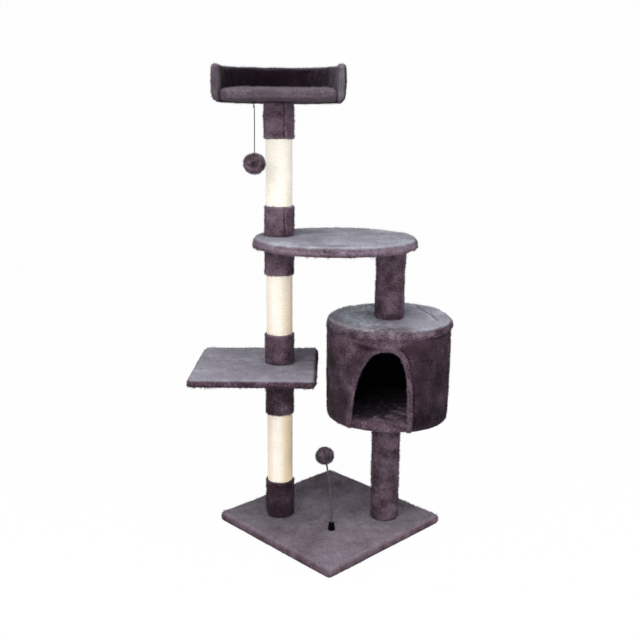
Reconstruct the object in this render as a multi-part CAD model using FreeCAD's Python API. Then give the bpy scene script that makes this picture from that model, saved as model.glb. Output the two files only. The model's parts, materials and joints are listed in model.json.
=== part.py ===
import FreeCAD, Part
import math
import os

# Cat tree, in millimetres. The base board stands with one corner to the front. +X runs along the
# line of the two stacks of posts, -Y is the front (the side of the cabin's doorway and of the
# perch's open side), +Z is up, and the origin is on the floor, midway between the two stacks.

V = FreeCAD.Vector
up = V(0, 0, 1)
os.makedirs("parts", exist_ok=True)

# Fits
fit = 0.2                       # round a core inside the cover that wraps it
joint_gap = 0.3                 # between two pieces that move on each other
flat_limit = 1e-4               # an edge is level or upright within this

# Plush covers
pile = 5.5                      # plush over the top and the edge of a board
under_pile = 3.5                # plush pulled tight under a board
edge_bevel = 6.0                # bevel of a covered edge

# Base
base_side = 400.0
base_corner = 12.0
base_x = -6.0                   # centre of the base from the point midway between the stacks
base_y = 6.0
base_turn = 46.6                # degrees, so that the posts stand on a diagonal
base_board_thickness = 18.0
hem_thickness = 3.0
hem_width = 40.0
base_recess = 5.0               # depth of the bolt recesses in the underside

# Posts
post_spacing = 264.0
tube_radius = 26.8
tube_wall = 3.5
sisal_rope = 4.3                # diameter of the rope wound on the tubes
sleeve_thickness = 9.4          # plush sleeve glued round a tube
plug_length = 22.0
post_1_lower_sleeve = 93.5
post_1_sisal = 177.0
post_1_upper_sleeve = 108.0
post_2_lower_sleeve = 72.0
post_2_sisal = 145.0
post_2_upper_sleeve = 68.0
post_3_lower_sleeve = 69.5
post_3_sisal = 154.0
post_3_upper_sleeve = 79.5
post_4_length = 270.0           # plush all the way, from the base to the cabin

# Side platform
side_length = 297.0
side_width = 300.0
side_corner = 15.0
side_board_thickness = 12.0
side_overhang = 92.0            # from the left posts' axis to the platform's right edge
side_forward = 8.0              # how far its centre lies in front of the posts
side_turn = 2.0                 # degrees

# Round platform
round_radius = 193.5
round_board_thickness = 15.0

# Perch
perch_width = 291.0
perch_depth = 210.0
perch_forward = 125.0           # from the posts' line to the open front
perch_shift = 9.0               # centre of the perch to the right of its post
perch_board_thickness = 15.0
perch_pad = 8.0                 # plush on the perch floor
pad_bevel = 4.0
perch_wall = 20.0               # thickness of the padded wall
perch_wall_core = 4.0
perch_end_height = 75.0         # height of the wall at its two front ends
perch_back_height = 85.0
perch_end_round = 18.0

# Cabin
cabin_radius = 150.8
cabin_height = 244.5
cabin_back = 15.0               # how far the cabin's axis lies behind the posts' line
cabin_board_thickness = 15.0
cabin_skin = 5.0                # plush on the outside of the wall
cabin_core = 3.5                # bent fibreboard
cabin_lining = 4.0              # plush on the inside of the wall
cabin_roof_bevel = 9.0
door_half_width = 78.0          # outer edge of the binding, at the cabin's bottom
door_height = 206.0             # outer edge of the binding, above the cabin's bottom
door_turn = 10.2                # degrees to the left of straight ahead
door_power = 2.55               # squareness of the arch: 2 is an ellipse
door_draw = 18.0                # how far the top of the arch is drawn to the right
door_steps = 28
binding_width = 13.0
binding_proud = 1.5
sill_inset = 1.0
door_lip = 4.0                  # plush wrapped over the cut edge of the core

# Fasteners
bolt_radius = 4.0
bolt_head_radius = 8.0
bolt_head_height = 2.5
washer_radius = 12.0
washer_thickness = 1.6
bolt_reach = 16.0               # length of thread inside a plug
insert_radius = 7.5             # to the corners of a six-sided threaded insert
insert_length = 18.0
thread_gap = 0.1
hole_gap = 0.5                  # round a bolt, through a board and its cover
washer_gap = 1.5

# Spring toy on the base
spring_toy_x = 1.0
spring_toy_y = -85.0
spring_low_lean = 3.5           # degrees to the left, from the socket to mid height
spring_high_lean = 8.0          # degrees to the left, from there to the ball
spring_radius = 2.2             # outside of the close-wound coil
spring_length = 175.0           # from the socket's mouth to the ball's centre
spring_seat = 12.0              # length of the coil inside the ball
spring_taper = 0.8              # of its radius, at the foot of each half
socket_bottom_radius = 8.3
socket_top_radius = 7.0
socket_height = 17.5
socket_bore_radius = 3.2
screw_radius = 2.0
screw_head_radius = 3.2
screw_head_height = 2.4
screw_length = 20.0
spring_ball_radius = 23.5

# Toy that hangs from the perch
toy_left = 47.0                 # from the left posts' axis to the staple
toy_forward = 80.0
staple_width = 8.0
staple_wire = 1.2
staple_drop = 4.0               # from the perch's underside to the middle of the crown
staple_bite = 10.0              # length of a leg inside the perch
loop_radius = 2.2               # middle of the cord, in the loop over the crown
cord_radius = 1.0
knot_radius = 2.4
knot_height = 5.0
cord_length = 105.0             # from the knot to its end inside the ball
cord_seat = 8.0                 # length of the cord inside the ball
toy_ball_radius = 25.0
ball_flatness = 0.94            # height of a ball over its width
ball_sides = 16
ball_bands = 10

# Heights of the left stack, from the floor up
base_thickness = hem_thickness + base_board_thickness + pile
post_1_length = post_1_lower_sleeve + post_1_sisal + post_1_upper_sleeve
post_2_length = post_2_lower_sleeve + post_2_sisal + post_2_upper_sleeve
post_3_length = post_3_lower_sleeve + post_3_sisal + post_3_upper_sleeve
side_thickness = under_pile + side_board_thickness + pile
round_thickness = under_pile + round_board_thickness + pile
perch_thickness = under_pile + perch_board_thickness + perch_pad
side_z = base_thickness + post_1_length
round_z = side_z + side_thickness + post_2_length
perch_z = round_z + round_thickness + post_3_length

# Heights of the right stack: its upper post fills what is left under the round platform
cabin_slab = under_pile + cabin_board_thickness + pile
cabin_z = base_thickness + post_4_length
cabin_roof_z = cabin_z + cabin_height - cabin_slab
post_5_z = cabin_z + cabin_height
post_5_length = round_z - post_5_z

# Places and radii that follow
left_x = -post_spacing / 2
right_x = post_spacing / 2
sisal_radius = tube_radius + fit + sisal_rope
sleeve_radius = tube_radius + fit + sleeve_thickness
hole_radius = bolt_radius + hole_gap
washer_hole_radius = washer_radius + washer_gap
perch_x = left_x + perch_shift
perch_arc_y = perch_depth - perch_width / 2 - perch_forward
core_outer = cabin_radius - cabin_skin
core_inner = core_outer - cabin_core
cabin_inner = core_inner - cabin_lining
cabin_floor_radius = cabin_inner - binding_proud - fit
staple_x = left_x - toy_left
crown_z = perch_z - staple_drop
loop_z = crown_z + staple_wire / 2 + joint_gap + cord_radius - loop_radius
loop_corner = cord_radius * math.sqrt(2)
knot_top = loop_z - loop_radius - loop_corner - joint_gap
toy_ball_z = knot_top - knot_height - cord_length + cord_seat - toy_ball_radius * ball_flatness
spring_mouth = V(spring_toy_x, spring_toy_y, base_thickness + socket_height)
spring_middle = spring_mouth + V(
    -math.sin(math.radians(spring_low_lean)) * spring_length / 2, 0,
    math.cos(math.radians(spring_low_lean)) * spring_length / 2)


def export(shape, name):
    """Write one sub-part to its own STEP file."""
    shape.exportStep("parts/" + name + ".step")


def disc(radius, z, height, x=0.0, y=0.0):
    return Part.makeCylinder(radius, height, V(x, y, z))


def ring(inner, outer, z, height, x=0.0, y=0.0):
    return disc(outer, z, height, x, y).cut(disc(inner, z, height, x, y))


def edges_at(shape, z):
    """The edges that lie flat at one height."""
    flat = []
    for edge in shape.Edges:
        box = edge.BoundBox
        if abs(box.ZMin - z) < flat_limit and abs(box.ZMax - z) < flat_limit:
            flat.append(edge)
    return flat


def upright_edges(shape):
    upright = []
    for edge in shape.Edges:
        box = edge.BoundBox
        if box.XLength < flat_limit and box.YLength < flat_limit:
            upright.append(edge)
    return upright


def rounded_plate(length, width, corner, z, height):
    """A flat plate, centred on Z, with rounded corners."""
    plate = Part.makeBox(length, width, height, V(-length / 2, -width / 2, z))
    return plate.makeFillet(corner, upright_edges(plate))


def placed(shape, x, y, turn):
    shape = shape.copy()
    shape.rotate(V(0, 0, 0), up, turn)
    shape.translate(V(x, y, 0))
    return shape


def turned(points, x=0.0, y=0.0, z=0.0):
    """A solid turned about a vertical axis from a closed profile of (radius, height) points."""
    corners = [V(x + radius, y, z + height) for radius, height in points]
    face = Part.Face(Part.makePolygon(corners + corners[:1]))
    return face.revolve(V(x, y, z), up, 360)


# Base

def base_board():
    side = base_side - 2 * pile - 2 * fit
    board = rounded_plate(side, side, base_corner - pile, hem_thickness, base_board_thickness)
    board = placed(board, base_x, base_y, base_turn)
    for x in (left_x, right_x):
        board = board.cut(disc(hole_radius, 0, base_thickness, x))
        board = board.cut(disc(washer_hole_radius, hem_thickness, base_recess, x))
    pilot = disc(screw_radius + fit, 0, base_thickness, spring_toy_x, spring_toy_y)
    return board.cut(pilot)


def base_plush():
    side = base_side - 2 * pile
    hem_side = side - 2 * hem_width
    cover = rounded_plate(base_side, base_side, base_corner, 0, base_thickness)
    cover = cover.makeChamfer(edge_bevel, edges_at(cover, base_thickness))
    pocket = rounded_plate(side, side, base_corner - pile, hem_thickness, base_board_thickness)
    window = rounded_plate(hem_side, hem_side, base_corner, 0, hem_thickness)
    cover = placed(cover.cut(pocket).cut(window), base_x, base_y, base_turn)
    for x in (left_x, right_x):
        cover = cover.cut(disc(hole_radius, 0, base_thickness, x))
    pilot = disc(screw_radius + fit, 0, base_thickness, spring_toy_x, spring_toy_y)
    return cover.cut(pilot)


def base_felt():
    side = base_side - 2 * pile - 2 * hem_width - 2 * fit
    felt = rounded_plate(side, side, base_corner, 0, hem_thickness)
    felt = placed(felt, base_x, base_y, base_turn)
    for x in (left_x, right_x):
        felt = felt.cut(disc(washer_hole_radius, 0, hem_thickness, x))
    return felt


# Posts

def post_tubes():
    tubes = []
    for x, z, length in all_posts():
        tubes.append(ring(tube_radius - tube_wall, tube_radius, z, length, x))
    return Part.makeCompound(tubes)


def post_plugs():
    """The plug in each end of each tube: twelve ribs wide, with a pocket for a threaded insert."""
    plugs = []
    for x, z, length in all_posts():
        for bottom in (z, z + length - plug_length):
            plug = prism(tube_radius - tube_wall - fit, 12, bottom, plug_length, x)
            pocket = prism(insert_radius + fit, 6, bottom, plug_length, x)
            plugs.append(plug.cut(pocket))
    return Part.makeCompound(plugs)


def prism(radius, sides, z, height, x):
    """A prism on a regular polygon, by the radius to its corners."""
    corners = []
    for i in range(sides + 1):
        angle = 2 * math.pi * i / sides
        corners.append(V(x + radius * math.cos(angle), radius * math.sin(angle), z))
    return Part.Face(Part.makePolygon(corners)).extrude(up * height)


def post_sleeve(x, z, length):
    return ring(tube_radius + fit, sleeve_radius, z, length, x)


def post_sisal(x, z, length):
    return ring(tube_radius + fit, sisal_radius, z, length, x)


# Side platform

def side_plate(inset, corner, z, height):
    plate = rounded_plate(side_length - 2 * inset, side_width - 2 * inset, corner, z, height)
    return plate


def side_place(plate):
    return placed(plate, left_x + side_overhang - side_length / 2, -side_forward, side_turn)


def side_board():
    plate = side_plate(pile + fit, side_corner - pile, side_z + under_pile, side_board_thickness)
    return side_place(plate).cut(disc(hole_radius, side_z, side_thickness, left_x))


def side_plush():
    cover = side_plate(0, side_corner, side_z, side_thickness)
    cover = cover.makeChamfer(edge_bevel, edges_at(cover, side_z + side_thickness))
    cover = cover.cut(side_plate(pile, side_corner - pile, side_z + under_pile, side_board_thickness))
    return side_place(cover).cut(disc(hole_radius, side_z, side_thickness, left_x))


# Round platform

def slab_board(radius, z, thickness, x=0.0, y=0.0):
    return disc(radius - pile - fit, z + under_pile, thickness, x, y)


def slab_plush(radius, z, thickness, bevel, x=0.0, y=0.0):
    """The plush cover of a round board, closed all round it."""
    height = under_pile + thickness + pile
    cover = disc(radius, z, height, x, y)
    cover = cover.makeChamfer(bevel, edges_at(cover, z + height))
    return cover.cut(disc(radius - pile, z + under_pile, thickness, x, y))


def round_holes(shape):
    for x in (left_x, right_x):
        shape = shape.cut(disc(hole_radius, round_z, round_thickness, x))
    top = round_z + under_pile + round_board_thickness
    return shape.cut(disc(washer_hole_radius, top, pile, right_x))


# Perch

def bay_face(half_width, front, back_radius, z):
    """A flat bay: a straight front, two straight sides and a half-round back."""
    left = perch_x - half_width
    right = perch_x + half_width
    arc = Part.Arc(V(right, perch_arc_y, z), V(perch_x, perch_arc_y + back_radius, z),
                   V(left, perch_arc_y, z))
    edges = [
        Part.LineSegment(V(left, front, z), V(right, front, z)).toShape(),
        Part.LineSegment(V(right, front, z), V(right, perch_arc_y, z)).toShape(),
        arc.toShape(),
        Part.LineSegment(V(left, perch_arc_y, z), V(left, front, z)).toShape(),
    ]
    return Part.Face(Part.Wire(edges))


def bay(half_width, front, z, height):
    return bay_face(half_width, front, half_width, z).extrude(up * height)


def perch_board():
    half = perch_width / 2 - perch_wall - pile - 2 * fit
    board = bay(half, pile + fit - perch_forward, perch_z + under_pile, perch_board_thickness)
    board = board.cut(disc(hole_radius, perch_z, perch_thickness, left_x))
    return board.cut(staple_slots())


def perch_floor_plush():
    half = perch_width / 2 - perch_wall - fit
    cover = bay(half, -perch_forward, perch_z, perch_thickness)
    cover = cover.makeChamfer(pad_bevel, edges_at(cover, perch_z + perch_thickness))
    pocket = bay(half - pile, pile - perch_forward, perch_z + under_pile, perch_board_thickness)
    cover = cover.cut(pocket).cut(disc(hole_radius, perch_z, perch_thickness, left_x))
    top = perch_z + under_pile + perch_board_thickness
    cover = cover.cut(disc(washer_hole_radius, top, perch_pad, left_x))
    return cover.cut(staple_slots())


def wall_profile(drop, front_inset):
    """Side view of the perch wall, wide enough to trim it: low rounded ends, rising to the back."""
    front = front_inset - perch_forward
    back = perch_depth - perch_forward
    low = perch_z + perch_end_height - drop
    high = perch_z + perch_back_height - drop
    bottom = perch_z + drop
    x = perch_x - perch_width
    bend = perch_end_round * (1 - math.cos(math.pi / 4))
    edges = [
        Part.LineSegment(V(x, front, bottom), V(x, back, bottom)).toShape(),
        Part.LineSegment(V(x, back, bottom), V(x, back, high)).toShape(),
        Part.LineSegment(V(x, back, high), V(x, front + perch_end_round, low)).toShape(),
        Part.Arc(V(x, front + perch_end_round, low), V(x, front + bend, low - bend),
                 V(x, front, low - perch_end_round)).toShape(),
        Part.LineSegment(V(x, front, low - perch_end_round), V(x, front, bottom)).toShape(),
    ]
    return Part.Face(Part.Wire(edges)).extrude(V(2 * perch_width, 0, 0))


def perch_wall_solid(inset, drop, front_inset):
    """The wall bent round the perch: a U in plan, trimmed to its side view."""
    outer = bay(perch_width / 2 - inset, -perch_forward, perch_z, perch_back_height)
    inner_half = perch_width / 2 - perch_wall + inset
    inner = bay(inner_half, -perch_forward - perch_wall, perch_z, perch_back_height)
    return outer.cut(inner).common(wall_profile(drop, front_inset))


def perch_wall_core_solid(gap):
    inset = (perch_wall - perch_wall_core) / 2 - gap
    return perch_wall_solid(inset, inset, inset)


def perch_wall_plush():
    return perch_wall_solid(0, 0, 0).cut(perch_wall_core_solid(fit))


# Cabin

def doorway(half_width, height):
    """An arched prism through the front of the cabin, on its bottom edge: half of a squared
    ellipse whose top is drawn to the right."""
    corners = []
    for i in range(door_steps + 1):
        angle = math.pi * i / door_steps
        across = math.copysign(abs(math.cos(angle)) ** (2 / door_power), math.cos(angle))
        rise = height * abs(math.sin(angle)) ** (2 / door_power)
        drawn = door_draw * (rise / door_height) ** 2
        corners.append(V(half_width * across + drawn, 0, cabin_z + rise))
    corners[-1].z = cabin_z
    arch = Part.Face(Part.makePolygon(corners + corners[:1]))
    arch = arch.extrude(V(0, -cabin_radius - binding_width, 0))
    return placed(arch, right_x, cabin_back, -door_turn)


def cabin_wall_plush():
    height = cabin_roof_z - cabin_z
    wall = ring(cabin_inner, cabin_radius, cabin_z, height, right_x, cabin_back)
    slot = ring(core_inner - fit, core_outer + fit, cabin_z + cabin_lining, height, right_x, cabin_back)
    doorless = slot.cut(doorway(door_half_width + door_lip, door_height + door_lip))
    return wall.cut(doorless).cut(doorway(door_half_width, door_height))


def cabin_wall_core():
    bottom = cabin_z + cabin_lining + fit
    core = ring(core_inner, core_outer, bottom, cabin_roof_z - bottom, right_x, cabin_back)
    return core.cut(doorway(door_half_width + door_lip + fit, door_height + door_lip + fit))


def cabin_door_binding():
    """The strip of plush folded over the doorway's edge, a little proud of the wall."""
    band = ring(cabin_inner - binding_proud, cabin_radius + binding_proud, cabin_z,
                door_height, right_x, cabin_back)
    band = band.common(doorway(door_half_width - fit, door_height - fit))
    return band.cut(doorway(door_half_width - binding_width, door_height - binding_width))


def cabin_floor_board():
    board = slab_board(cabin_floor_radius, cabin_z, cabin_board_thickness, right_x, cabin_back)
    return board.cut(disc(hole_radius, cabin_z, cabin_slab, right_x))


def cabin_floor_plush():
    """The floor's cover, with the sill that fills the foot of the doorway."""
    cover = slab_plush(cabin_floor_radius, cabin_z, cabin_board_thickness, pad_bevel,
                       right_x, cabin_back)
    inset = binding_width + fit
    sill = ring(cabin_floor_radius - sill_inset, cabin_radius - sill_inset, cabin_z, cabin_slab,
                right_x, cabin_back)
    sill = sill.common(doorway(door_half_width - inset, door_height - inset))
    cover = cover.fuse(sill).removeSplitter()
    cover = cover.cut(disc(hole_radius, cabin_z, cabin_slab, right_x))
    top = cabin_z + under_pile + cabin_board_thickness
    return cover.cut(disc(washer_hole_radius, top, pile, right_x))


def cabin_roof_board():
    board = slab_board(cabin_radius, cabin_roof_z, cabin_board_thickness, right_x, cabin_back)
    return board.cut(disc(hole_radius, cabin_roof_z, cabin_slab, right_x))


def cabin_roof_plush():
    cover = slab_plush(cabin_radius, cabin_roof_z, cabin_board_thickness, cabin_roof_bevel,
                       right_x, cabin_back)
    cover = cover.cut(disc(hole_radius, cabin_roof_z, cabin_slab, right_x))
    return cover.cut(disc(washer_hole_radius, cabin_roof_z, under_pile, right_x))


# Fasteners. Each bolt is (x, height of its washer's seat, 1 if it points up, length to the plug).

def bolt_list():
    base_seat = hem_thickness + base_recess
    base_grip = base_thickness - base_seat + bolt_reach
    perch_seat = perch_z + under_pile + perch_board_thickness
    perch_grip = perch_seat - perch_z + bolt_reach
    round_seat = round_z + under_pile + round_board_thickness
    round_grip = round_seat - round_z + bolt_reach
    floor_seat = cabin_z + under_pile + cabin_board_thickness
    floor_grip = floor_seat - cabin_z + bolt_reach
    roof_seat = cabin_roof_z + under_pile
    roof_grip = post_5_z - roof_seat + bolt_reach
    return [
        (left_x, base_seat, 1, base_grip),
        (right_x, base_seat, 1, base_grip),
        (left_x, perch_seat, -1, perch_grip),
        (right_x, round_seat, -1, round_grip),
        (right_x, floor_seat, -1, floor_grip),
        (right_x, roof_seat, 1, roof_grip),
    ]


def bolts():
    made = []
    for x, seat, way, grip in bolt_list():
        under_head = seat - way * washer_thickness
        head_z = min(under_head, under_head - way * bolt_head_height)
        shank_z = min(under_head, under_head + way * (washer_thickness + grip))
        head = prism(bolt_head_radius, 6, head_z, bolt_head_height, x)
        shank = disc(bolt_radius, shank_z, washer_thickness + grip, x)
        made.append(head.fuse(shank))
    return Part.makeCompound(made)


def washers():
    made = []
    for x, seat, way, grip in bolt_list():
        bottom = min(seat, seat - way * washer_thickness)
        made.append(ring(bolt_radius + hole_gap, washer_radius, bottom, washer_thickness, x))
    return Part.makeCompound(made)


def studs():
    """The double-ended studs that run through the side and the round platform."""
    made = []
    for z, thickness in ((side_z, side_thickness), (round_z, round_thickness)):
        made.append(disc(bolt_radius, z - bolt_reach, thickness + 2 * bolt_reach, left_x))
    return Part.makeCompound(made)


def threaded_inserts():
    made = []
    for x, z, length in all_posts():
        for bottom in (z, z + length - insert_length):
            body = prism(insert_radius, 6, bottom, insert_length, x)
            made.append(body.cut(disc(bolt_radius + thread_gap, bottom, insert_length, x)))
    return Part.makeCompound(made)


# Spring toy

def leaned(shape, pivot, lean):
    shape = shape.copy()
    shape.rotate(pivot, V(0, 1, 0), -lean)
    return shape


def spring_socket():
    seat = socket_height - socket_bore_radius - joint_gap
    floor = seat - screw_head_height - fit
    profile = [
        (screw_radius + fit, 0), (socket_bottom_radius, 0), (socket_top_radius, socket_height),
        (socket_bore_radius, socket_height), (socket_bore_radius, floor), (screw_radius + fit, floor),
    ]
    return turned(profile, spring_toy_x, spring_toy_y, base_thickness)


def socket_screw():
    top = base_thickness + socket_height - socket_bore_radius - joint_gap - fit
    shank_z = top - screw_head_height
    head = disc(screw_head_radius, shank_z, screw_head_height, spring_toy_x, spring_toy_y)
    shank = disc(screw_radius, top - screw_length, screw_length, spring_toy_x, spring_toy_y)
    return head.fuse(shank).removeSplitter()


def spring_half(pivot, lean, length):
    """A length of the coil, as the tube it fills, with a tapered foot centred on its pivot."""
    foot = spring_radius * spring_taper
    profile = [
        (0, -spring_radius), (spring_radius - foot, -spring_radius),
        (spring_radius, foot - spring_radius), (spring_radius, length), (0, length),
    ]
    return leaned(turned(profile, pivot.x, pivot.y, pivot.z), pivot, lean)


def spring_lower():
    length = spring_length / 2 - spring_radius - joint_gap
    return spring_half(spring_mouth, spring_low_lean, length)


def spring_upper():
    length = spring_length / 2 - spring_ball_radius + spring_seat
    return spring_half(spring_middle, spring_high_lean, length)


def ball(x, y, z, radius, bore):
    """A trimmed pompom: a slightly flattened ball of flat facets, with a bore cut into it."""
    rings = []
    for i in range(ball_bands + 1):
        rise = math.pi * (i / ball_bands - 0.5)
        rings.append((radius * math.cos(rise), radius * ball_flatness * math.sin(rise)))
    faces = []
    for (low_radius, low), (high_radius, high) in zip(rings, rings[1:]):
        for side in range(ball_sides):
            start = 2 * math.pi * side / ball_sides
            end = 2 * math.pi * (side + 1) / ball_sides
            corners = [ring_point(x, y, z + low, low_radius, start)]
            if low_radius > 1e-6:
                corners.append(ring_point(x, y, z + low, low_radius, end))
            corners.append(ring_point(x, y, z + high, high_radius, end))
            if high_radius > 1e-6:
                corners.append(ring_point(x, y, z + high, high_radius, start))
            faces.append(Part.Face(Part.makePolygon(corners + corners[:1])))
    return Part.Solid(Part.Shell(faces)).cut(bore)


def ring_point(x, y, z, radius, angle):
    return V(x + radius * math.cos(angle), y + radius * math.sin(angle), z)


def spring_ball():
    x, y = spring_middle.x, spring_middle.y
    centre = spring_middle.z + spring_length / 2
    bottom = centre - spring_ball_radius
    bore = disc(spring_radius + fit, bottom, spring_seat + fit, x, y)
    upright = ball(x, y, centre, spring_ball_radius, bore)
    return leaned(upright, spring_middle, spring_high_lean)


# Hanging toy

def staple_shape(gap):
    """The staple's crown and legs, of square wire grown by a gap."""
    wire = staple_wire + 2 * gap
    low = crown_z - wire / 2
    span = staple_width + 2 * gap
    crown = Part.makeBox(span, wire, wire, V(staple_x - span / 2, -toy_forward - wire / 2, low))
    leg_height = perch_z + staple_bite + gap - low
    shape = crown
    for x in (staple_x - span / 2, staple_x + span / 2 - wire):
        shape = shape.fuse(Part.makeBox(wire, wire, leg_height, V(x, -toy_forward - wire / 2, low)))
    return shape.removeSplitter()


def staple_slots():
    return staple_shape(fit / 2)


def cord_loop():
    """The loop of the cord over the staple's crown."""
    outer = loop_radius + cord_radius
    inner = loop_radius - cord_radius
    centre = V(staple_x - cord_radius, -toy_forward, loop_z)
    loop = Part.makeCylinder(outer, 2 * cord_radius, centre, V(1, 0, 0))
    return loop.cut(Part.makeCylinder(inner, 2 * cord_radius, centre, V(1, 0, 0)))


def cord_knot():
    """A barrel knot, drawn as two short tapers back to back."""
    middle = knot_top - knot_height / 2
    lower = Part.makeCone(cord_radius, knot_radius, knot_height / 2,
                          V(staple_x, -toy_forward, knot_top - knot_height))
    upper = Part.makeCone(knot_radius, cord_radius, knot_height / 2, V(staple_x, -toy_forward, middle))
    return lower.fuse(upper)


def toy_cord():
    """One straight run: the ball's weight pulls it tight, so it has no bend and no radius."""
    cord = disc(cord_radius, knot_top - knot_height - cord_length, cord_length, staple_x, -toy_forward)
    measured = cord.Volume / (math.pi * cord_radius ** 2)
    print("toy cord: straight, length", round(measured, 2), "of", cord_length)
    return cord


def toy_ball():
    end = knot_top - knot_height - cord_length - fit
    bore = disc(cord_radius + fit, end, toy_ball_radius, staple_x, -toy_forward)
    return ball(staple_x, -toy_forward, toy_ball_z, toy_ball_radius, bore)


def all_posts():
    """Axis, foot and length of each post."""
    return [
        (left_x, base_thickness, post_1_length),
        (left_x, side_z + side_thickness, post_2_length),
        (left_x, round_z + round_thickness, post_3_length),
        (right_x, base_thickness, post_4_length),
        (right_x, post_5_z, post_5_length),
    ]


def export_wound_post(number, lower, sisal, upper):
    """A scratching post's rope and the plush sleeve at each of its ends."""
    x, z, length = all_posts()[number - 1]
    lower_sleeve = post_sleeve(x, z, lower)
    upper_sleeve = post_sleeve(x, z + lower + sisal, upper)
    name = "post_" + str(number)
    export(post_sisal(x, z + lower, sisal), name + "_sisal")
    export(Part.makeCompound([lower_sleeve, upper_sleeve]), name + "_sleeves")


def export_posts():
    export(post_tubes(), "post_tubes")
    export(post_plugs(), "post_plugs")
    export_wound_post(1, post_1_lower_sleeve, post_1_sisal, post_1_upper_sleeve)
    export_wound_post(2, post_2_lower_sleeve, post_2_sisal, post_2_upper_sleeve)
    export_wound_post(3, post_3_lower_sleeve, post_3_sisal, post_3_upper_sleeve)
    for number in (4, 5):
        x, z, length = all_posts()[number - 1]
        export(post_sleeve(x, z, length), "post_" + str(number) + "_sleeve")


def main():
    export(base_board(), "base_board")
    export(base_plush(), "base_plush")
    export(base_felt(), "base_felt")
    export_posts()
    export(side_board(), "side_board")
    export(side_plush(), "side_plush")
    export(round_holes(slab_board(round_radius, round_z, round_board_thickness)), "round_board")
    round_cover = slab_plush(round_radius, round_z, round_board_thickness, edge_bevel)
    export(round_holes(round_cover), "round_plush")
    export(perch_board(), "perch_board")
    export(perch_floor_plush(), "perch_floor_plush")
    export(perch_wall_core_solid(0), "perch_wall_core")
    export(perch_wall_plush(), "perch_wall_plush")
    export(cabin_floor_board(), "cabin_floor_board")
    export(cabin_floor_plush(), "cabin_floor_plush")
    export(cabin_wall_core(), "cabin_wall_core")
    export(cabin_wall_plush(), "cabin_wall_plush")
    export(cabin_door_binding(), "cabin_door_binding")
    export(cabin_roof_board(), "cabin_roof_board")
    export(cabin_roof_plush(), "cabin_roof_plush")
    export(bolts(), "bolts")
    export(washers(), "washers")
    export(studs(), "studs")
    export(threaded_inserts(), "threaded_inserts")
    export(spring_socket(), "spring_socket")
    export(socket_screw(), "socket_screw")
    export(spring_lower(), "spring_lower")
    export(spring_upper(), "spring_upper")
    export(spring_ball(), "spring_ball")
    export(staple_shape(0), "cord_staple")
    export(cord_loop(), "cord_loop")
    export(cord_knot(), "cord_knot")
    export(toy_cord(), "toy_cord")
    export(toy_ball(), "toy_ball")


main()
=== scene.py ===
import json
import math
import bpy
import bmesh
import numpy as np
from mathutils import Matrix, Vector


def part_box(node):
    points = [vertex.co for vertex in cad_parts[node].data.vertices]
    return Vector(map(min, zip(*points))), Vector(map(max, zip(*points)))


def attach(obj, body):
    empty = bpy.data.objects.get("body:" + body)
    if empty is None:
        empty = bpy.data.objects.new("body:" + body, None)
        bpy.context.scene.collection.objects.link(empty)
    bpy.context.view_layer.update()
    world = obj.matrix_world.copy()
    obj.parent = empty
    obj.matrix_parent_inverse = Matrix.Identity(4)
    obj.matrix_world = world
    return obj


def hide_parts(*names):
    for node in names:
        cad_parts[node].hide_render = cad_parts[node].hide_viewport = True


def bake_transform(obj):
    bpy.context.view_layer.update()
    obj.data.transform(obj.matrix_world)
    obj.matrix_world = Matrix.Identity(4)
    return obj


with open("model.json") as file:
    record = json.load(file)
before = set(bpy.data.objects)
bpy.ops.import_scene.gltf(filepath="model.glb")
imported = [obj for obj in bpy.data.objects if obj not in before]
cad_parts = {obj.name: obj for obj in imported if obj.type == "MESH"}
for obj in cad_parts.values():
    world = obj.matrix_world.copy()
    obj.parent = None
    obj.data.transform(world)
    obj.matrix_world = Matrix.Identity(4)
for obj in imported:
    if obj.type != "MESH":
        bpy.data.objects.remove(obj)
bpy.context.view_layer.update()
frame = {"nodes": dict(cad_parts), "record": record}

# Cat tree: plush covers, rope winding, cabin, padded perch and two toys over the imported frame.
# Metres and degrees. The front is -Y, and up is +Z.

mm = 0.001


def spot(node):
    low, high = (np.array(corner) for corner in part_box(node))
    return low, high, (low + high) / 2


def hashed(cells, seed):
    # a repeatable number from 0 to 1 for each whole-number cell
    x, y, z = (cells[..., k].astype(np.uint32) for k in range(3))
    h = x * np.uint32(73856093) ^ y * np.uint32(19349663) ^ z * np.uint32(83492791)
    h = h ^ np.uint32(seed * 7919 + 101)
    h = (h ^ (h >> np.uint32(13))) * np.uint32(1274126177)
    return ((h ^ (h >> np.uint32(16))) & np.uint32(0xffffff)) / 0xffffff


def softNoise(points, size, seed=0):
    # random numbers on a lattice of this size, eased between its corners, from -1 to 1
    places = points / size
    cell = np.floor(places).astype(np.int64)
    part = places - cell
    part = part * part * (3 - 2 * part)
    total = np.zeros(points.shape[:-1])
    for corner in range(8):
        step = np.array([corner & 1, corner >> 1 & 1, corner >> 2 & 1])
        weight = np.prod(np.where(step == 1, part, 1 - part), axis=-1)
        total += weight * hashed(cell + step, seed)
    return 2 * total - 1


def lumps(co, *sizes):
    # sum of soft noises, each (lattice size, height) in millimetres
    return sum(height * mm * softNoise(co, size * mm, 3 + k)
               for k, (size, height) in enumerate(sizes))


def lengths(vectors):
    return np.linalg.norm(vectors, axis=-1)


def unit(vectors):
    return vectors / np.maximum(lengths(vectors)[..., None], 1e-12)


def ease(value, low, high):
    # 0 below low, 1 above high, smooth between
    part = np.clip((value - low) / (high - low), 0, 1)
    return part * part * (3 - 2 * part)


def near(value, reach):
    # 1 at zero, falling away smoothly over the reach
    return np.exp(-(value / reach) ** 2)


def circle(count):
    # turns evenly round from +X, and the outward way at each
    turn = np.linspace(0, 2 * math.pi, count, endpoint=False)
    return turn, np.stack([np.cos(turn), np.sin(turn)], 1)


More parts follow.
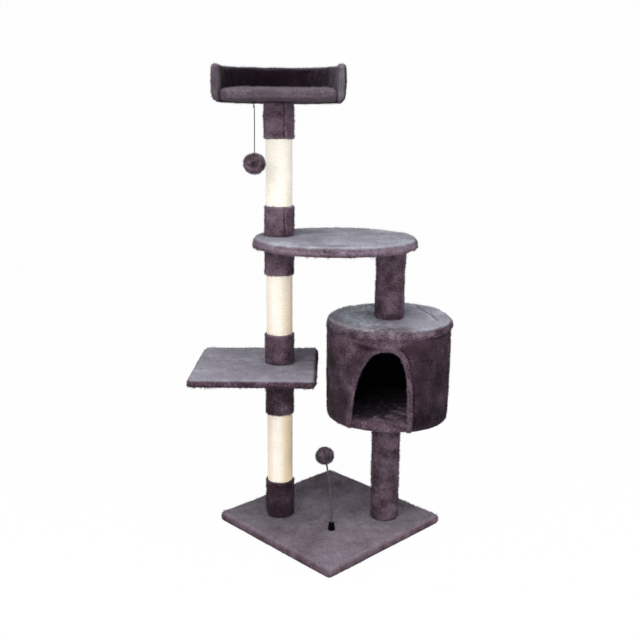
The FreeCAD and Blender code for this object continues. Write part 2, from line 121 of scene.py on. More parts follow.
def fromAxis(co, axis):
    # level offset from a vertical axis, and the distance
    flat = co[:, :2] - axis
    return flat, lengths(flat)


def alongSpokes(co, axis, push):
    # moves that lead straight away from a vertical axis
    flat, radius = fromAxis(co, axis)
    spoke = np.zeros_like(co)
    spoke[:, :2] = flat / radius[:, None]
    return spoke * push[:, None]


def everywhere(co, out):
    return np.ones(len(co))


def facing(limit):
    # 1 where the surface looks up more than this
    return lambda co, out: (out[:, 2] > limit) * 1.0


def joinedGrids(grids):
    # each grid is (points[u, v], roundU, roundV, chart); neighbours are joined in quads
    corners, faces, maps, start = [], [], [], 0
    for points, roundU, roundV, chart in grids:
        countU, countV = points.shape[:2]
        a, b = np.meshgrid(np.arange(countU - (not roundU)), np.arange(countV - (not roundV)),
                           indexing="ij")
        a, b = a.ravel(), b.ravel()
        ring = [(a, b), (a + 1, b), (a + 1, b + 1), (a, b + 1)]
        faces.append(start + np.stack([p % countU * countV + q % countV for p, q in ring], 1))
        across, along = a.max() + 1, b.max() + 1
        left, low, right, high = chart
        maps.append(np.stack([np.stack([left + (right - left) * p / across,
                                        low + (high - low) * q / along], 1)
                              for p, q in ring], 1))
        corners.append(points.reshape(-1, 3))
        start += countU * countV
    return np.concatenate(corners), np.concatenate(faces), np.concatenate(maps)


def weldedMesh(name, grids):
    corners, faces, maps = joinedGrids(grids)
    mesh = bpy.data.meshes.new(name)
    mesh.from_pydata(corners.tolist(), [], faces.tolist())
    layer = mesh.uv_layers.new(name="OFBake")
    layer.uv.foreach_set("vector", maps.reshape(-1).astype(np.float32))
    made = bmesh.new()
    made.from_mesh(mesh)
    bmesh.ops.remove_doubles(made, verts=made.verts, dist=0.02 * mm)
    bmesh.ops.dissolve_degenerate(made, edges=made.edges, dist=0.01 * mm)
    bmesh.ops.recalc_face_normals(made, faces=made.faces)
    bmesh.ops.triangulate(made, faces=made.faces)
    made.to_mesh(mesh)
    made.free()
    return mesh


def pull(items, key, width=3, kind=float):
    # one property of every item, as rows of numbers
    values = np.empty(len(items) * width, kind)
    items.foreach_get(key, values)
    return values.reshape(-1, width)


def readMesh(mesh):
    return pull(mesh.vertices, "co"), pull(mesh.vertices, "normal")


def readFaces(mesh):
    flat = pull(mesh.uv_layers["OFBake"].uv, "vector", 2, np.float32)
    return pull(mesh.polygons, "vertices", 3, np.int32), flat.reshape(-1, 3, 2)


def keepValues(mesh, key, values):
    held = mesh.attributes.new(key, "FLOAT", "POINT")
    held.data.foreach_set("value", values.astype(np.float32))


def addObject(name, data):
    placed = bpy.data.objects.new(name, data)
    bpy.context.scene.collection.objects.link(placed)
    return placed


# lengths run from shortest to shortest + spread, and change slowly over the surface by wavy
strand = {"shortest": 0.7, "spread": 0.6, "wavy": 0.3, "waves": 12 * mm, "sunk": 0.4 * mm,
          "shading": 0.45, "mapStep": 0.0006}


def seedPile(mesh, pile, seed):
    # roots spread by area over the faces, each strand a thin closed spike that leans along a
    # smooth comb direction; returns points, faces, map, normals, root places and strand shades
    rng = np.random.default_rng(seed)
    co, normal = readMesh(mesh)
    tri, flat = readFaces(mesh)
    area = pull(mesh.polygons, "area", 1)[:, 0]
    weight = area * pile["where"](co[tri].mean(1), unit(normal[tri].mean(1)))
    number = int(weight.sum() / pile["spacing"] ** 2)
    face = rng.choice(len(tri), number, p=weight / weight.sum())
    a, b = rng.random(number), rng.random(number)
    over = a + b > 1
    a, b = np.where(over, 1 - a, a), np.where(over, 1 - b, b)
    share = np.stack([1 - a - b, a, b], 1)[:, :, None]
    root = (co[tri[face]] * share).sum(1)
    out = unit((normal[tri[face]] * share).sum(1))
    place = (flat[face] * share).sum(1)
    comb = np.stack([softNoise(root, pile["swirl"], seed + k) for k in range(3)], 1)
    comb = comb + np.array(pile["comb"])
    comb = comb - (comb * out).sum(1, keepdims=True) * out
    loose = rng.normal(0, pile["loose"], (number, 3))
    way = unit(out + pile["lean"] * comb + loose)
    length = pile["length"] * (strand["shortest"] + strand["spread"] * rng.random(number))
    length *= 1 + strand["wavy"] * softNoise(root, strand["waves"], seed + 5)
    side = unit(np.cross(way, rng.normal(0, 1, (number, 3))))
    other = np.cross(way, side)
    ring = [side * math.cos(t) + other * math.sin(t) for t in (0, 2.094, 4.189)]
    foot = [root - strand["sunk"] * out + spoke * pile["width"] / 2 for spoke in ring]
    points = np.stack(foot + [root + way * length[:, None]], 1).reshape(-1, 3)
    points[:, 2] = np.maximum(points[:, 2], pile.get("floor", -1))
    base = np.arange(number)[:, None] * 4
    order = np.array([[0, 2, 1], [0, 1, 3], [1, 2, 3], [2, 0, 3]])
    faces = (base[:, None] + order[None]).reshape(-1, 3)
    nudge = np.array([[-1, -0.6], [1, -0.6], [0, 1]]) * strand["mapStep"]
    spots = np.repeat(place[:, None, None] + nudge[None, None], 4, 1).reshape(-1, 3, 2)
    turned = unit(out[:, None] + strand["shading"] * np.stack(ring + [way], 1))
    own = rng.random(number)[:, None] * 1.7 - 0.7
    tip = (own * np.array([[0.5, 0.5, 0.5, 1.0]])).ravel()
    return points, faces, spots, turned.reshape(-1, 3), np.repeat(out, 4, 0), tip


def makePiece(name, grids, relief=None, piles=(), tone=None, sheenShare=1.0, shaped=None,
              paintedSheen=None):
    # grids -> one closed mesh, shaped, pushed along its normals by relief, with strands of pile.
    # Attributes: tip, a strand's own shade; tone, lighter or darker places, partly painted light
    # and shade; up, painted sheen on faces that look up
    if isinstance(grids, np.ndarray):  # one skin, open at its two ends and round the other way
        grids = [(grids, False, True, (0, 0, 1, 1))]
    mesh = weldedMesh(name, grids)
    if shaped is not None:
        shaped(mesh)
    co, normal = readMesh(mesh)
    if relief is not None:
        moved = relief(co, normal)
        if moved.ndim == 1:
            moved = normal * moved[:, None]
        mesh.vertices.foreach_set("co", (co + moved).ravel())
        mesh.update()
        co, normal = readMesh(mesh)
    parts, start = [(co, *readFaces(mesh), normal, normal, np.zeros(len(co)))], len(co)
    for number, pile in enumerate(piles):
        points, faces, *rest = seedPile(mesh, pile, 11 + 17 * number + len(name))
        parts.append((points, faces + start, *rest))
        start += len(points)
    points, faces, spots, shades, outs, tips = (np.concatenate(held) for held in zip(*parts))
    whole = bpy.data.meshes.new(name)
    whole.vertices.add(len(points))
    whole.vertices.foreach_set("co", points.ravel())
    whole.loops.add(len(faces) * 3)
    whole.loops.foreach_set("vertex_index", faces.ravel().astype(np.int32))
    whole.polygons.add(len(faces))
    whole.polygons.foreach_set("loop_start", np.arange(len(faces), dtype=np.int32) * 3)
    whole.update(calc_edges=True)
    layer = whole.uv_layers.new(name="OFBake")
    layer.uv.foreach_set("vector", spots.ravel().astype(np.float32))
    share = sheenShare(points) if callable(sheenShare) else sheenShare
    up = share * ease(outs[:, 2], 0.45, 0.98)
    if paintedSheen is not None:
        up = np.maximum(up, paintedSheen(points, outs))
    keepValues(whole, "tip", tips)
    keepValues(whole, "tone", np.zeros(len(points)) if tone is None else tone(points, outs))
    keepValues(whole, "up", up)
    whole.polygons.foreach_set("use_smooth", np.ones(len(faces), bool))
    if piles:
        whole.normals_split_custom_set_from_vertices(shades.tolist())
    bpy.data.meshes.remove(mesh)
    whole.name = name
    return addObject(name, whole)


def roundedOutline(width, depth, radii, step):
    # corner arcs joined by straights, anticlockwise from the right front; points and outward ways
    places, outward = [], []
    signs = [(1, -1), (1, 1), (-1, 1), (-1, -1)]
    for k, (sx, sy) in enumerate(signs):
        radius = radii[k]
        centre = np.array([sx * (width / 2 - radius), sy * (depth / 2 - radius)])
        count = max(5, int(radius * math.pi / 2 / step))
        turn = math.radians(-90 + 90 * k) + np.linspace(0, math.pi / 2, count)
        spokes = np.stack([np.cos(turn), np.sin(turn)], 1)
        places.append(centre + radius * spokes)
        outward.append(spokes)
        nx, ny = signs[(k + 1) % 4]
        after = radii[(k + 1) % 4]
        nextCentre = np.array([nx * (width / 2 - after), ny * (depth / 2 - after)])
        end = nextCentre + after * spokes[-1]
        run = np.linalg.norm(end - places[-1][-1])
        count = int(run / step)
        part = (np.arange(1, count) / max(count, 1))[:, None]
        places.append(places[-1][-1] * (1 - part) + end * part)
        outward.append(np.repeat(spokes[-1:], max(count - 1, 0), 0))
    return np.concatenate(places), np.concatenate(outward)


def turnedFlat(flat, degrees):
    turn = math.radians(degrees)
    return flat @ np.array([[math.cos(turn), math.sin(turn)], [-math.sin(turn), math.cos(turn)]])


def coveredBoard(outline, outward, middle, low, high, size):
    # rings from the middle of the top, over a quarter round, down the side, under a second quarter
    # round and back to the middle of the underside: each is the outline drawn in and shrunk
    top, under = size["topRound"], size["lowRound"]
    reach = lengths(outline - middle).max()
    bend = np.linspace(0, math.pi / 2, 7)
    side = np.linspace(0, 1, max(3, int((high - low - top - under) / (2.5 * mm)) + 2))[1:-1]
    insets = np.concatenate([top * (1 - np.sin(bend)), -size["bulge"] * np.sin(math.pi * side),
                             under * (1 - np.cos(bend))])
    heights = np.concatenate([high - top * (1 - np.cos(bend)),
                              high - top - (high - low - top - under) * side,
                              low + under * (1 - np.sin(bend))])
    inner = np.linspace(0, 1, max(3, int(reach / size["step"])), endpoint=False)
    coarse = np.linspace(1, 0, max(3, int(reach / (12 * mm))))[1:]
    share = np.concatenate([inner, np.ones(len(insets)), coarse])
    insets = np.concatenate([np.full(len(inner), top), insets, np.full(len(coarse), under)])
    heights = np.concatenate([np.full(len(inner), high), heights, np.full(len(coarse), low)])
    rings = outline[None] - outward[None] * insets[:, None, None]
    flat = middle + (rings - middle) * share[:, None, None]
    level = np.broadcast_to(heights[:, None, None], flat.shape[:2] + (1,))
    return np.concatenate([flat, level], 2)


cloth = {"frames": 20, "pressure": 4.0, "cap": 3 * mm, "inward": 0.2 * mm, "quality": 5}


def puffedUp(pinned):
    # blows a pad up with the cloth solver, its seams pinned, and caps how far a point may move
    # outwards and inwards
    def shape(mesh):
        scene = bpy.context.scene
        before, out = readMesh(mesh)
        pad = addObject("pad", mesh.copy())
        seam = pad.vertex_groups.new(name="seam")
        seam.add(np.nonzero(pinned(before, out))[0].tolist(), 1.0, "REPLACE")
        solver = pad.modifiers.new("cloth", "CLOTH")
        solver.settings.quality = cloth["quality"]
        solver.settings.use_pressure = True
        solver.settings.uniform_pressure_force = cloth["pressure"]
        solver.settings.vertex_group_mass = "seam"
        solver.settings.effector_weights.gravity = 0
        solver.point_cache.frame_start, solver.point_cache.frame_end = 1, cloth["frames"]
        for step in range(1, cloth["frames"] + 1):
            scene.frame_set(step)
        blown = pad.evaluated_get(bpy.context.evaluated_depsgraph_get())
        moved = readMesh(blown.data)[0] - before
        sunk = np.minimum((moved * out).sum(1, keepdims=True) + cloth["inward"], 0)
        moved = moved - out * sunk
        far = np.linalg.norm(moved, axis=1, keepdims=True)
        moved = moved * np.minimum(1, cloth["cap"] / np.maximum(far, 1e-9))
        print("pad moved", round(float(far.mean() / mm), 2), "mm on average")
        mesh.vertices.foreach_set("co", (before + moved).ravel())
        mesh.update()
        data = pad.data
        bpy.data.objects.remove(pad)
        bpy.data.meshes.remove(data)
        scene.frame_set(1)
    return shape


def feed(tree, node, inputs):
    # numbers and colours are set on the sockets, and other nodes' outputs are linked to them
    for socket, value in inputs.items():
        if isinstance(value, (int, float, tuple)):
            node.inputs[socket].default_value = value
        else:
            tree.links.new(value, node.inputs[socket])
    return node


def addNode(tree, kind, inputs=None, **settings):
    # settings name the node's own properties
    node = tree.nodes.new(kind)
    for key, value in settings.items():
        setattr(node, key, value)
    return feed(tree, node, inputs or {})


def newGroup(name, inputs, *outputs):
    # a number makes a value socket, four numbers a colour, and none a vector
    tree = bpy.data.node_groups.new(name, "ShaderNodeTree")
    for label, value in inputs.items():
        kind = "Vector" if value is None else "Float" if isinstance(value, float) else "Color"
        socket = tree.interface.new_socket(label, in_out="INPUT", socket_type="NodeSocket" + kind)
        if value is not None:
            socket.default_value = value
    for label in outputs:
        kind = "Color" if label == "Color" else "Float"
        tree.interface.new_socket(label, in_out="OUTPUT", socket_type="NodeSocket" + kind)
    start, end = tree.nodes.new("NodeGroupInput"), tree.nodes.new("NodeGroupOutput")
    return tree, start.outputs, end


def noiseNode(tree, vector, scale, detail=2.0, rough=0.5):
    return addNode(tree, "ShaderNodeTexNoise", {"Vector": vector, "Scale": scale, "Detail": detail,
                                                "Roughness": rough}).outputs["Fac"]


def spread(tree, value, low, high, toLow=0.0, toHigh=1.0):
    return addNode(tree, "ShaderNodeMapRange",
                   {"Value": value, "From Min": low, "From Max": high, "To Min": toLow,
                    "To Max": toHigh}).outputs["Result"]


def sums(tree, operation, a, b):
    return addNode(tree, "ShaderNodeMath", {0: a, 1: b}, operation=operation).outputs[0]


def plus(tree, a, b):
    return sums(tree, "ADD", a, b)


def times(tree, a, b):
    return sums(tree, "MULTIPLY", a, b)


def blendColour(tree, factor, a, b, mode="MIX"):
    return addNode(tree, "ShaderNodeMix", {0: factor, 6: a, 7: b}, data_type="RGBA",
                   blend_type=mode).outputs[2]


def readValue(tree, key):
    return addNode(tree, "ShaderNodeAttribute", attribute_name=key).outputs["Fac"]


def paint(colour):
    return tuple(colour) + (1.0,)


# Blotches where the pile lies another way, a mottle of tufts, and the grain of single strands:
# their sum runs from the root colour through the body to the tip, and faces that look up are mixed
# towards a bright tint, a painted sheen
def buildPileGroup():
    tree, given, end = newGroup("pileShade", {
        "Vector": None, "Root": (0.02, 0.01, 0.02, 1), "Body": (0.05, 0.03, 0.04, 1),
        "Ends": (0.2, 0.17, 0.19, 1), "Sky": (0.6, 0.6, 0.65, 1), "Tip": 0.0, "Tone": 0.0,
        "Up": 0.0, "Blotch": 26.0, "Contrast": 1.0, "Gain": 4.0}, "Color", "Height")
    where, up = given["Vector"], given["Up"]
    blotch = spread(tree, noiseNode(tree, where, given["Blotch"], 3.0, 0.55), 0.3, 0.7, -0.5, 0.5)
    mottle = spread(tree, noiseNode(tree, where, 95.0, 2.0, 0.6), 0.3, 0.7, -0.5, 0.5)
    grain = spread(tree, noiseNode(tree, where, 270.0, 3.0, 0.7), 0.32, 0.68, -0.5, 0.5)
    mixed = plus(tree, times(tree, blotch, 0.40),
                 plus(tree, times(tree, mottle, 0.2), times(tree, grain, 0.5)))
    calm = times(tree, given["Contrast"], spread(tree, up, 0.0, 0.45, 1.0, 0.45))
    level = plus(tree, times(tree, mixed, calm), 0.42)
    level = plus(tree, level, times(tree, times(tree, given["Tip"], calm), 0.3))
    level = plus(tree, level, times(tree, given["Tone"], 0.5))
    low = blendColour(tree, spread(tree, level, 0.0, 0.5), given["Root"], given["Body"])
    colour = blendColour(tree, spread(tree, level, 0.5, 1.15), low, given["Ends"])
    evened = blendColour(tree, 0.5, colour, given["Body"])
    bright = blendColour(tree, 1.0, evened, given["Sky"], "MULTIPLY")
    gained = addNode(tree, "ShaderNodeVectorMath", operation="SCALE")
    feed(tree, gained, {0: bright, "Scale": given["Gain"]})
    feed(tree, end, {"Color": blendColour(tree, up, colour, gained.outputs[0]),
                     "Height": plus(tree, grain, times(tree, mottle, 0.8))})
    return tree


# Scratches and dull patches for metal, board and plastic
def buildWearGroup():
    tree, given, end = newGroup("handlingWear", {
        "Vector": None, "Color": (0.5, 0.5, 0.5, 1), "Worn": (0.3, 0.3, 0.3, 1), "Scale": 90.0,
        "Rough": 0.5}, "Color", "Roughness", "Height")
    where, scale = given["Vector"], given["Scale"]
    patch = noiseNode(tree, where, scale, 4.0, 0.65)
    wearAndShade = spread(tree, patch, 0.45, 0.7)
    uneven = times(tree, sums(tree, "SUBTRACT", patch, 0.5), 0.3)
    feed(tree, end, {"Color": blendColour(tree, wearAndShade, given["Color"], given["Worn"]),
                     "Roughness": plus(tree, given["Rough"], uneven),
                     "Height": noiseNode(tree, where, times(tree, scale, 9.0), 3.0)})
    return tree


pileGroup = buildPileGroup()
wearGroup = buildWearGroup()
print("node groups ready")


def newMaterial(name):
    material = bpy.data.materials.new(name)
    material.use_nodes = True
    tree = material.node_tree
    return material, tree, tree.nodes["Principled BSDF"]


def placeGroup(tree, group, **values):
    node = addNode(tree, "ShaderNodeGroup", node_tree=group)
    where = tree.nodes.new("ShaderNodeTexCoord").outputs["Object"]
    return feed(tree, node, dict(values, Vector=where))


def addBump(tree, shader, height, strength, distance):
    bump = addNode(tree, "ShaderNodeBump",
                   {"Height": height, "Strength": strength, "Distance": distance})
    feed(tree, shader, {"Normal": bump.outputs["Normal"]})


def plushMaterial(name, look):
    material, tree, shader = newMaterial(name)
    shade = placeGroup(tree, pileGroup, Root=paint(look["root"]), Body=paint(look["body"]),
                       Ends=paint(look["ends"]), Sky=paint(look["paintedSheen"]), Gain=look["gain"],
                       Blotch=look["blotch"], Contrast=look["contrast"],
                       Tip=readValue(tree, "tip"), Tone=readValue(tree, "tone"),
                       Up=readValue(tree, "up"))
    feed(tree, shader, {"Base Color": shade.outputs["Color"], "Roughness": 0.95,
                        "Specular IOR Level": 0.05, "Sheen Weight": look["sheen"],
                        "Sheen Roughness": look["sheenRough"],
                        "Sheen Tint": paint(look["sheenTint"])})
    addBump(tree, shader, shade.outputs["Height"], 0.5, 1.5 * mm)
    return material


def plainMaterial(name, look):
    # board, plastic, metal, felt and cord: a colour that wears, its gloss and a fine bump
    material, tree, shader = newMaterial(name)
    wear = placeGroup(tree, wearGroup, Color=paint(look["colour"]), Worn=paint(look["wearAndShade"]),
                      Scale=look["scale"], Rough=look["rough"])
    feed(tree, shader, {"Base Color": wear.outputs["Color"],
                        "Roughness": wear.outputs["Roughness"],
                        "Metallic": look.get("metal", 0.0),
                        "Specular IOR Level": look.get("gloss", 0.5)})
    addBump(tree, shader, wear.outputs["Height"], look["bump"], 0.4 * mm)
    return material


def dress(piece, material, body, slot, *nodes):
    piece.data.materials.append(material)
    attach(piece, body)
    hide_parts(*nodes)
    return piece


view = {"place": (0.0468, -1.9117, 0.9733), "heading": 2.43, "down": 12.99, "roll": 0.42,
        "lens": 45.8}


def addCamera():
    # looks along heading (degrees left of straight back) and down, with a slight roll
    heading, down, roll = (math.radians(view[key]) for key in ("heading", "down", "roll"))
    ahead = Vector((-math.sin(heading) * math.cos(down), math.cos(heading) * math.cos(down),
                    -math.sin(down)))
    level = Vector((math.cos(heading), math.sin(heading), 0))
    above = level.cross(ahead)
    right = level * math.cos(roll) + above * math.sin(roll)
    top = above * math.cos(roll) - level * math.sin(roll)
    data = bpy.data.cameras.new("camera")
    data.lens, data.sensor_width = view["lens"], 36
    camera = addObject("camera", data)
    turn = Matrix((right, top, -ahead)).transposed().to_4x4()
    camera.matrix_world = Matrix.Translation(Vector(view["place"])) @ turn
    bpy.context.scene.camera = camera


addCamera()
print("camera ready")

toyCord = {"diameter": 2.0 * mm, "length": 0.105}


def buildToyCord():
    # route points from the knot down into the ball, in one NURBS spline
    low, high, middle = spot("toy_cord")
    toyCord["exit"] = (middle[0] + 0.7 * mm, middle[1], high[2])
    route = [(middle[0] + aside * mm, middle[1], z) for aside, z in
             ((0.7, high[2]), (0.9, high[2] - 0.035), (0.5, low[2] + 0.035), (0, low[2]))]
    curve = bpy.data.curves.new("toyCord", "CURVE")
    curve.dimensions = "3D"
    curve.bevel_depth = toyCord["diameter"] / 2
    curve.bevel_resolution = 3
    curve.use_fill_caps = True
    spline = curve.splines.new("NURBS")
    spline.points.add(len(route) - 1)
    for point, place in zip(spline.points, route):
        point.co = (*place, 1)
    spline.order_u = 3
    spline.use_endpoint_u = True
    spline.resolution_u = 8
    return addObject("toyCord", curve)


cordLook = {"colour": (0.004, 0.004, 0.005), "wearAndShade": (0.01, 0.009, 0.01), "scale": 400.0,
            "rough": 0.9, "bump": 0.2, "gloss": 0.0}
cordMaterial = plainMaterial("cordBraid", cordLook)
cord = dress(buildToyCord(), cordMaterial, "hanging_toy", "cord", "toy_cord")
print("cord ready")

# the tint and the strength of the painted sheen on faces that look up are given here with the
# colours
plushLook = {"root": (0.012, 0.006, 0.010), "body": (0.058, 0.0325, 0.046),
             "ends": (0.26, 0.187, 0.24), "paintedSheen": (0.84, 1.42, 1.19), "gain": 6.6, "blotch": 17.0,
             "contrast": 1.0, "sheen": 0.05, "sheenRough": 0.5, "sheenTint": (0.86, 0.88, 1.0)}
pomLook = dict(plushLook, root=(0.014, 0.009, 0.012), body=(0.085, 0.062, 0.074), blotch=60.0,
               gain=1.5)
# the cabin's inside is made near black: painted shade
shadedInsideLook = dict(plushLook, root=(0.003, 0.002, 0.003), body=(0.008, 0.005, 0.007),
                  ends=(0.03, 0.022, 0.027), sheen=0.0)
plush = plushMaterial("plush", plushLook)
plushBrushed = plushMaterial("brushedPlush", dict(plushLook, contrast=0.72))
plushFlat = plushMaterial("flatPlush", dict(plushLook, contrast=0.62, blotch=11.0))
plushPom = plushMaterial("pomPlush", pomLook)
paintedShadePlush = plushMaterial("insidePaintedShadePlush", shadedInsideLook)

shortPile = {"spacing": 2.9 * mm, "length": 3.6 * mm, "width": 1.2 * mm, "lean": 0.8,
             "loose": 0.35, "swirl": 60 * mm, "comb": (0, 0, -0.4), "where": everywhere}

postAxis = (0.132, 0.0)  # of the right posts, where a bolt draws the cloth in


def boltDent(co):
    return 1.5 * mm * near(fromAxis(co, postAxis)[1], 13 * mm)


# the sheen share is how much painted sheen a board's top gets, and wrap how far that painted sheen
# carries over the edge
boards = {
    "base": {"node": "base_plush", "corner": 12 * mm, "turn": 46.6, "topRound": 9 * mm,
             "lowRound": 8 * mm, "bulge": 0.3 * mm, "step": 5 * mm, "sunk": 1.8 * mm,
             "sheenShare": 0.14, "tone": 0.74, "edge": 0.06, "sheenWrap": 0.0, "fringe": 0,
             "look": plushFlat},
    "side": {"node": "side_plush", "corner": 15 * mm, "turn": 2.0, "topRound": 10 * mm,
             "lowRound": 4 * mm, "bulge": 0.6 * mm, "step": 5 * mm, "sunk": 1.9 * mm,
             "sheenShare": 0.95, "tone": 0.04, "edge": -0.34, "sheenWrap": 0.0, "fringe": 5.5 * mm,
             "look": plush},
    "round": {"node": "round_plush", "topRound": 12 * mm, "lowRound": 4 * mm, "bulge": 0.6 * mm,
              "step": 5 * mm, "sunk": 1.4 * mm, "sheenShare": 1.0, "tone": 0.16, "edge": 0.24,
              "sheenWrap": 0.05, "fringe": 6.5 * mm, "look": plush},
}


def boardPiece(name, size, outline, outward, middle, crumpled=None):
    # the outline is the solid's own, drawn in by the depth that the pile stands over
    low, high = spot(size["node"])[:2]
    onGround, bolted, sunk = name == "baseCover", name == "roundCover", size["sunk"]
    under = low[2] + (0.4 * mm if onGround else sunk / 2)
    grid = coveredBoard(outline - sunk * outward, outward, middle, under, high[2] - sunk, size)

    def relief(co, out):
        body = lumps(co, (60, 0.7), (24, 0.5), (9, 0.35))
        body = body * (0.2 + 0.8 * ease(co[:, 2], under + 1 * mm, under + 5 * mm))
        body = body + (0 if crumpled is None else crumpled(co, out))
        return (body + boltDent(co) * bolted * (out[:, 2] > 0.5)) * (out[:, 2] > -0.9)

    def shown(co, out):
        above = co[:, 2] > low[2] + (6 * mm if onGround else 0)
        return (out[:, 2] > -0.75) * above * 1.0

    def lowEdge(co, out):
        edge = np.clip(1 - np.abs(co[:, 2] - under - 3 * mm) / (4 * mm), 0, 1)
        clumped = ease(softNoise(co, 9 * mm, 27), -0.25, 0.15) if bolted else 1.0
        return edge * (out[:, 2] < 0.5) * (out[:, 2] > -0.9) * clumped

    def tone(co, out):
        side = ease(-out[:, 2], -0.6, -0.1)
        edge = ease(-co[:, 2], -high[2] + 3 * mm, -high[2] + 8 * mm) * ease(out[:, 2], -0.3, 0.1)
        level = side * (0.35 + size["edge"] - size["tone"]) + 0.25 * edge + size["tone"]
        if onGround:  # painted shade, darker towards the corner behind and towards the left
            level = level - 0.3 * ease(co[:, 1], 0.02, 0.2) - 0.14 * ease(-co[:, 0], 0.08, 0.25)
        level = level + 0.16 * softNoise(co, 60 * mm, 14) + 0.14 * softNoise(co, 22 * mm, 15)
        return level + 0.3 * side * softNoise(co, 16 * mm, 9)

    piles = [dict(shortPile, where=shown, floor=low[2] + 0.3 * mm)]
    if size["fringe"]:
        piles.append(dict(shortPile, spacing=1.9 * mm, length=size["fringe"], comb=(0, 0, -1.6),
                          lean=0.9, loose=0.4, where=lowEdge))

    def paintedSheen(co, out):
        # the painted sheen of the top carries over the edge
        return size["sheenWrap"] * ease(out[:, 2], -0.3, 0.6)

    piece = makePiece(name, grid, relief, piles, tone,
                      size["sheenShare"], paintedSheen=paintedSheen)
    return dress(piece, size["look"], "stand", "plush", size["node"])


def squareCover(name, size, across, deep, centre, crumpled=None):
    outline, outward = roundedOutline(across, deep, [size["corner"]] * 4, 5 * mm)
    boardPiece(name, size, turnedFlat(outline, size["turn"]) + centre[:2],
               turnedFlat(outward, size["turn"]), centre[:2], crumpled)


def buildBoards():
    # a square cover's own sides come from its box and its turn, and its corners' radius
    size = boards["base"]
    low, high, centre = spot(size["node"])
    turn, corner = math.radians(size["turn"]), size["corner"]
    side = (high[0] - low[0] - 2 * corner) / (math.cos(turn) + math.sin(turn)) + 2 * corner
    squareCover("baseCover", size, side, side, centre)
    size = boards["side"]
    low, high, centre = spot(size["node"])
    turn, corner = math.radians(size["turn"]), size["corner"]
    c, s = math.cos(turn), math.sin(turn)
    span = (high - low)[:2] - 2 * corner
    across, deep = np.linalg.solve(np.array([[c, s], [s, c]]), span) + 2 * corner

    def crumpled(co, out):
        # the cloth bunches at the right side, and is drawn in towards the front there
        right = ease(co[:, 0], centre[0] + 0.09, centre[0] + 0.145)
        wave = np.sin(co[:, 1] * 150) + 0.6 * np.sin(co[:, 1] * 330 + 1)
        drawn = -1.4 * mm * ease(-co[:, 1], -0.10, 0.14) * ease(out[:, 0], 0.2, 0.8)
        return right * (1.3 * mm * wave + 0.8 * mm * softNoise(co, 14 * mm, 5) + drawn)

    squareCover("sideCover", size, across, deep, centre, crumpled)
    size = boards["round"]
    low, high, centre = spot(size["node"])
    outward = circle(250)[1]
    radius = (high[0] - low[0]) / 2
    boardPiece("roundCover", size, centre[:2] + radius * outward, outward, centre[:2])


buildBoards()
print("boards covered")

sleeve = {"inner": 27.0 * mm, "outer": 34.0 * mm, "round": 3.6 * mm, "step": 4 * mm,
          "around": 72, "flare": 1.2 * mm, "flareOver": 12 * mm, "tuck": 0.8 * mm,
          "ragged": 1.5 * mm}
left, right = -0.132, 0.132
sleeves = [  # node, axis x, seam direction in degrees, (low, high, free bottom, free top, tone, which is painted light and shade)
    ("post_1_sleeves", left, 80, ((None, 120, False, True, -0.28), (297, None, True, False, 0.06))),
    ("post_2_sleeves", left, 75, ((None, 498, False, True, 0.56), (643, None, True, False, 0.50))),
    ("post_3_sleeves", left, -64, ((None, 804.5, False, True, 0.74),
                                   (958.5, None, True, False, 0.95))),
    ("post_4_sleeve", right, 100, ((None, None, False, False, 0.46),)),
    ("post_5_sleeve", right, 95, ((None, None, False, False, 0.52),)),
]


def turnedRing(x, low, high):
    # a wall's closed section, flat inside and rounded at its two ends, turned about a vertical axis
    inner, outer, r = sleeve["inner"], sleeve["outer"], sleeve["round"]
    bend = np.linspace(0, math.pi / 2, 5)
    height = np.arange(low + r, high - r, sleeve["step"])[1:]
    radius = np.concatenate([inner + (outer - inner - r) * np.linspace(0, 1, 3)[:2],
                             outer - r + r * np.sin(bend), np.full(len(height), outer),
                             outer - r + r * np.cos(bend),
                             inner + (outer - inner - r) * np.linspace(1, 0, 3)[1:],
                             np.full(6, inner)])
    level = np.concatenate([np.full(2, low), low + r - r * np.cos(bend), height,
                            high - r + r * np.sin(bend), np.full(2, high),
                            np.linspace(high, low, 8)[1:-1]])
    turn = circle(sleeve["around"])[0][:, None]
    return np.stack([x + radius * np.cos(turn), radius * np.sin(turn),
                     np.broadcast_to(level, (len(turn), len(level)))], 2)


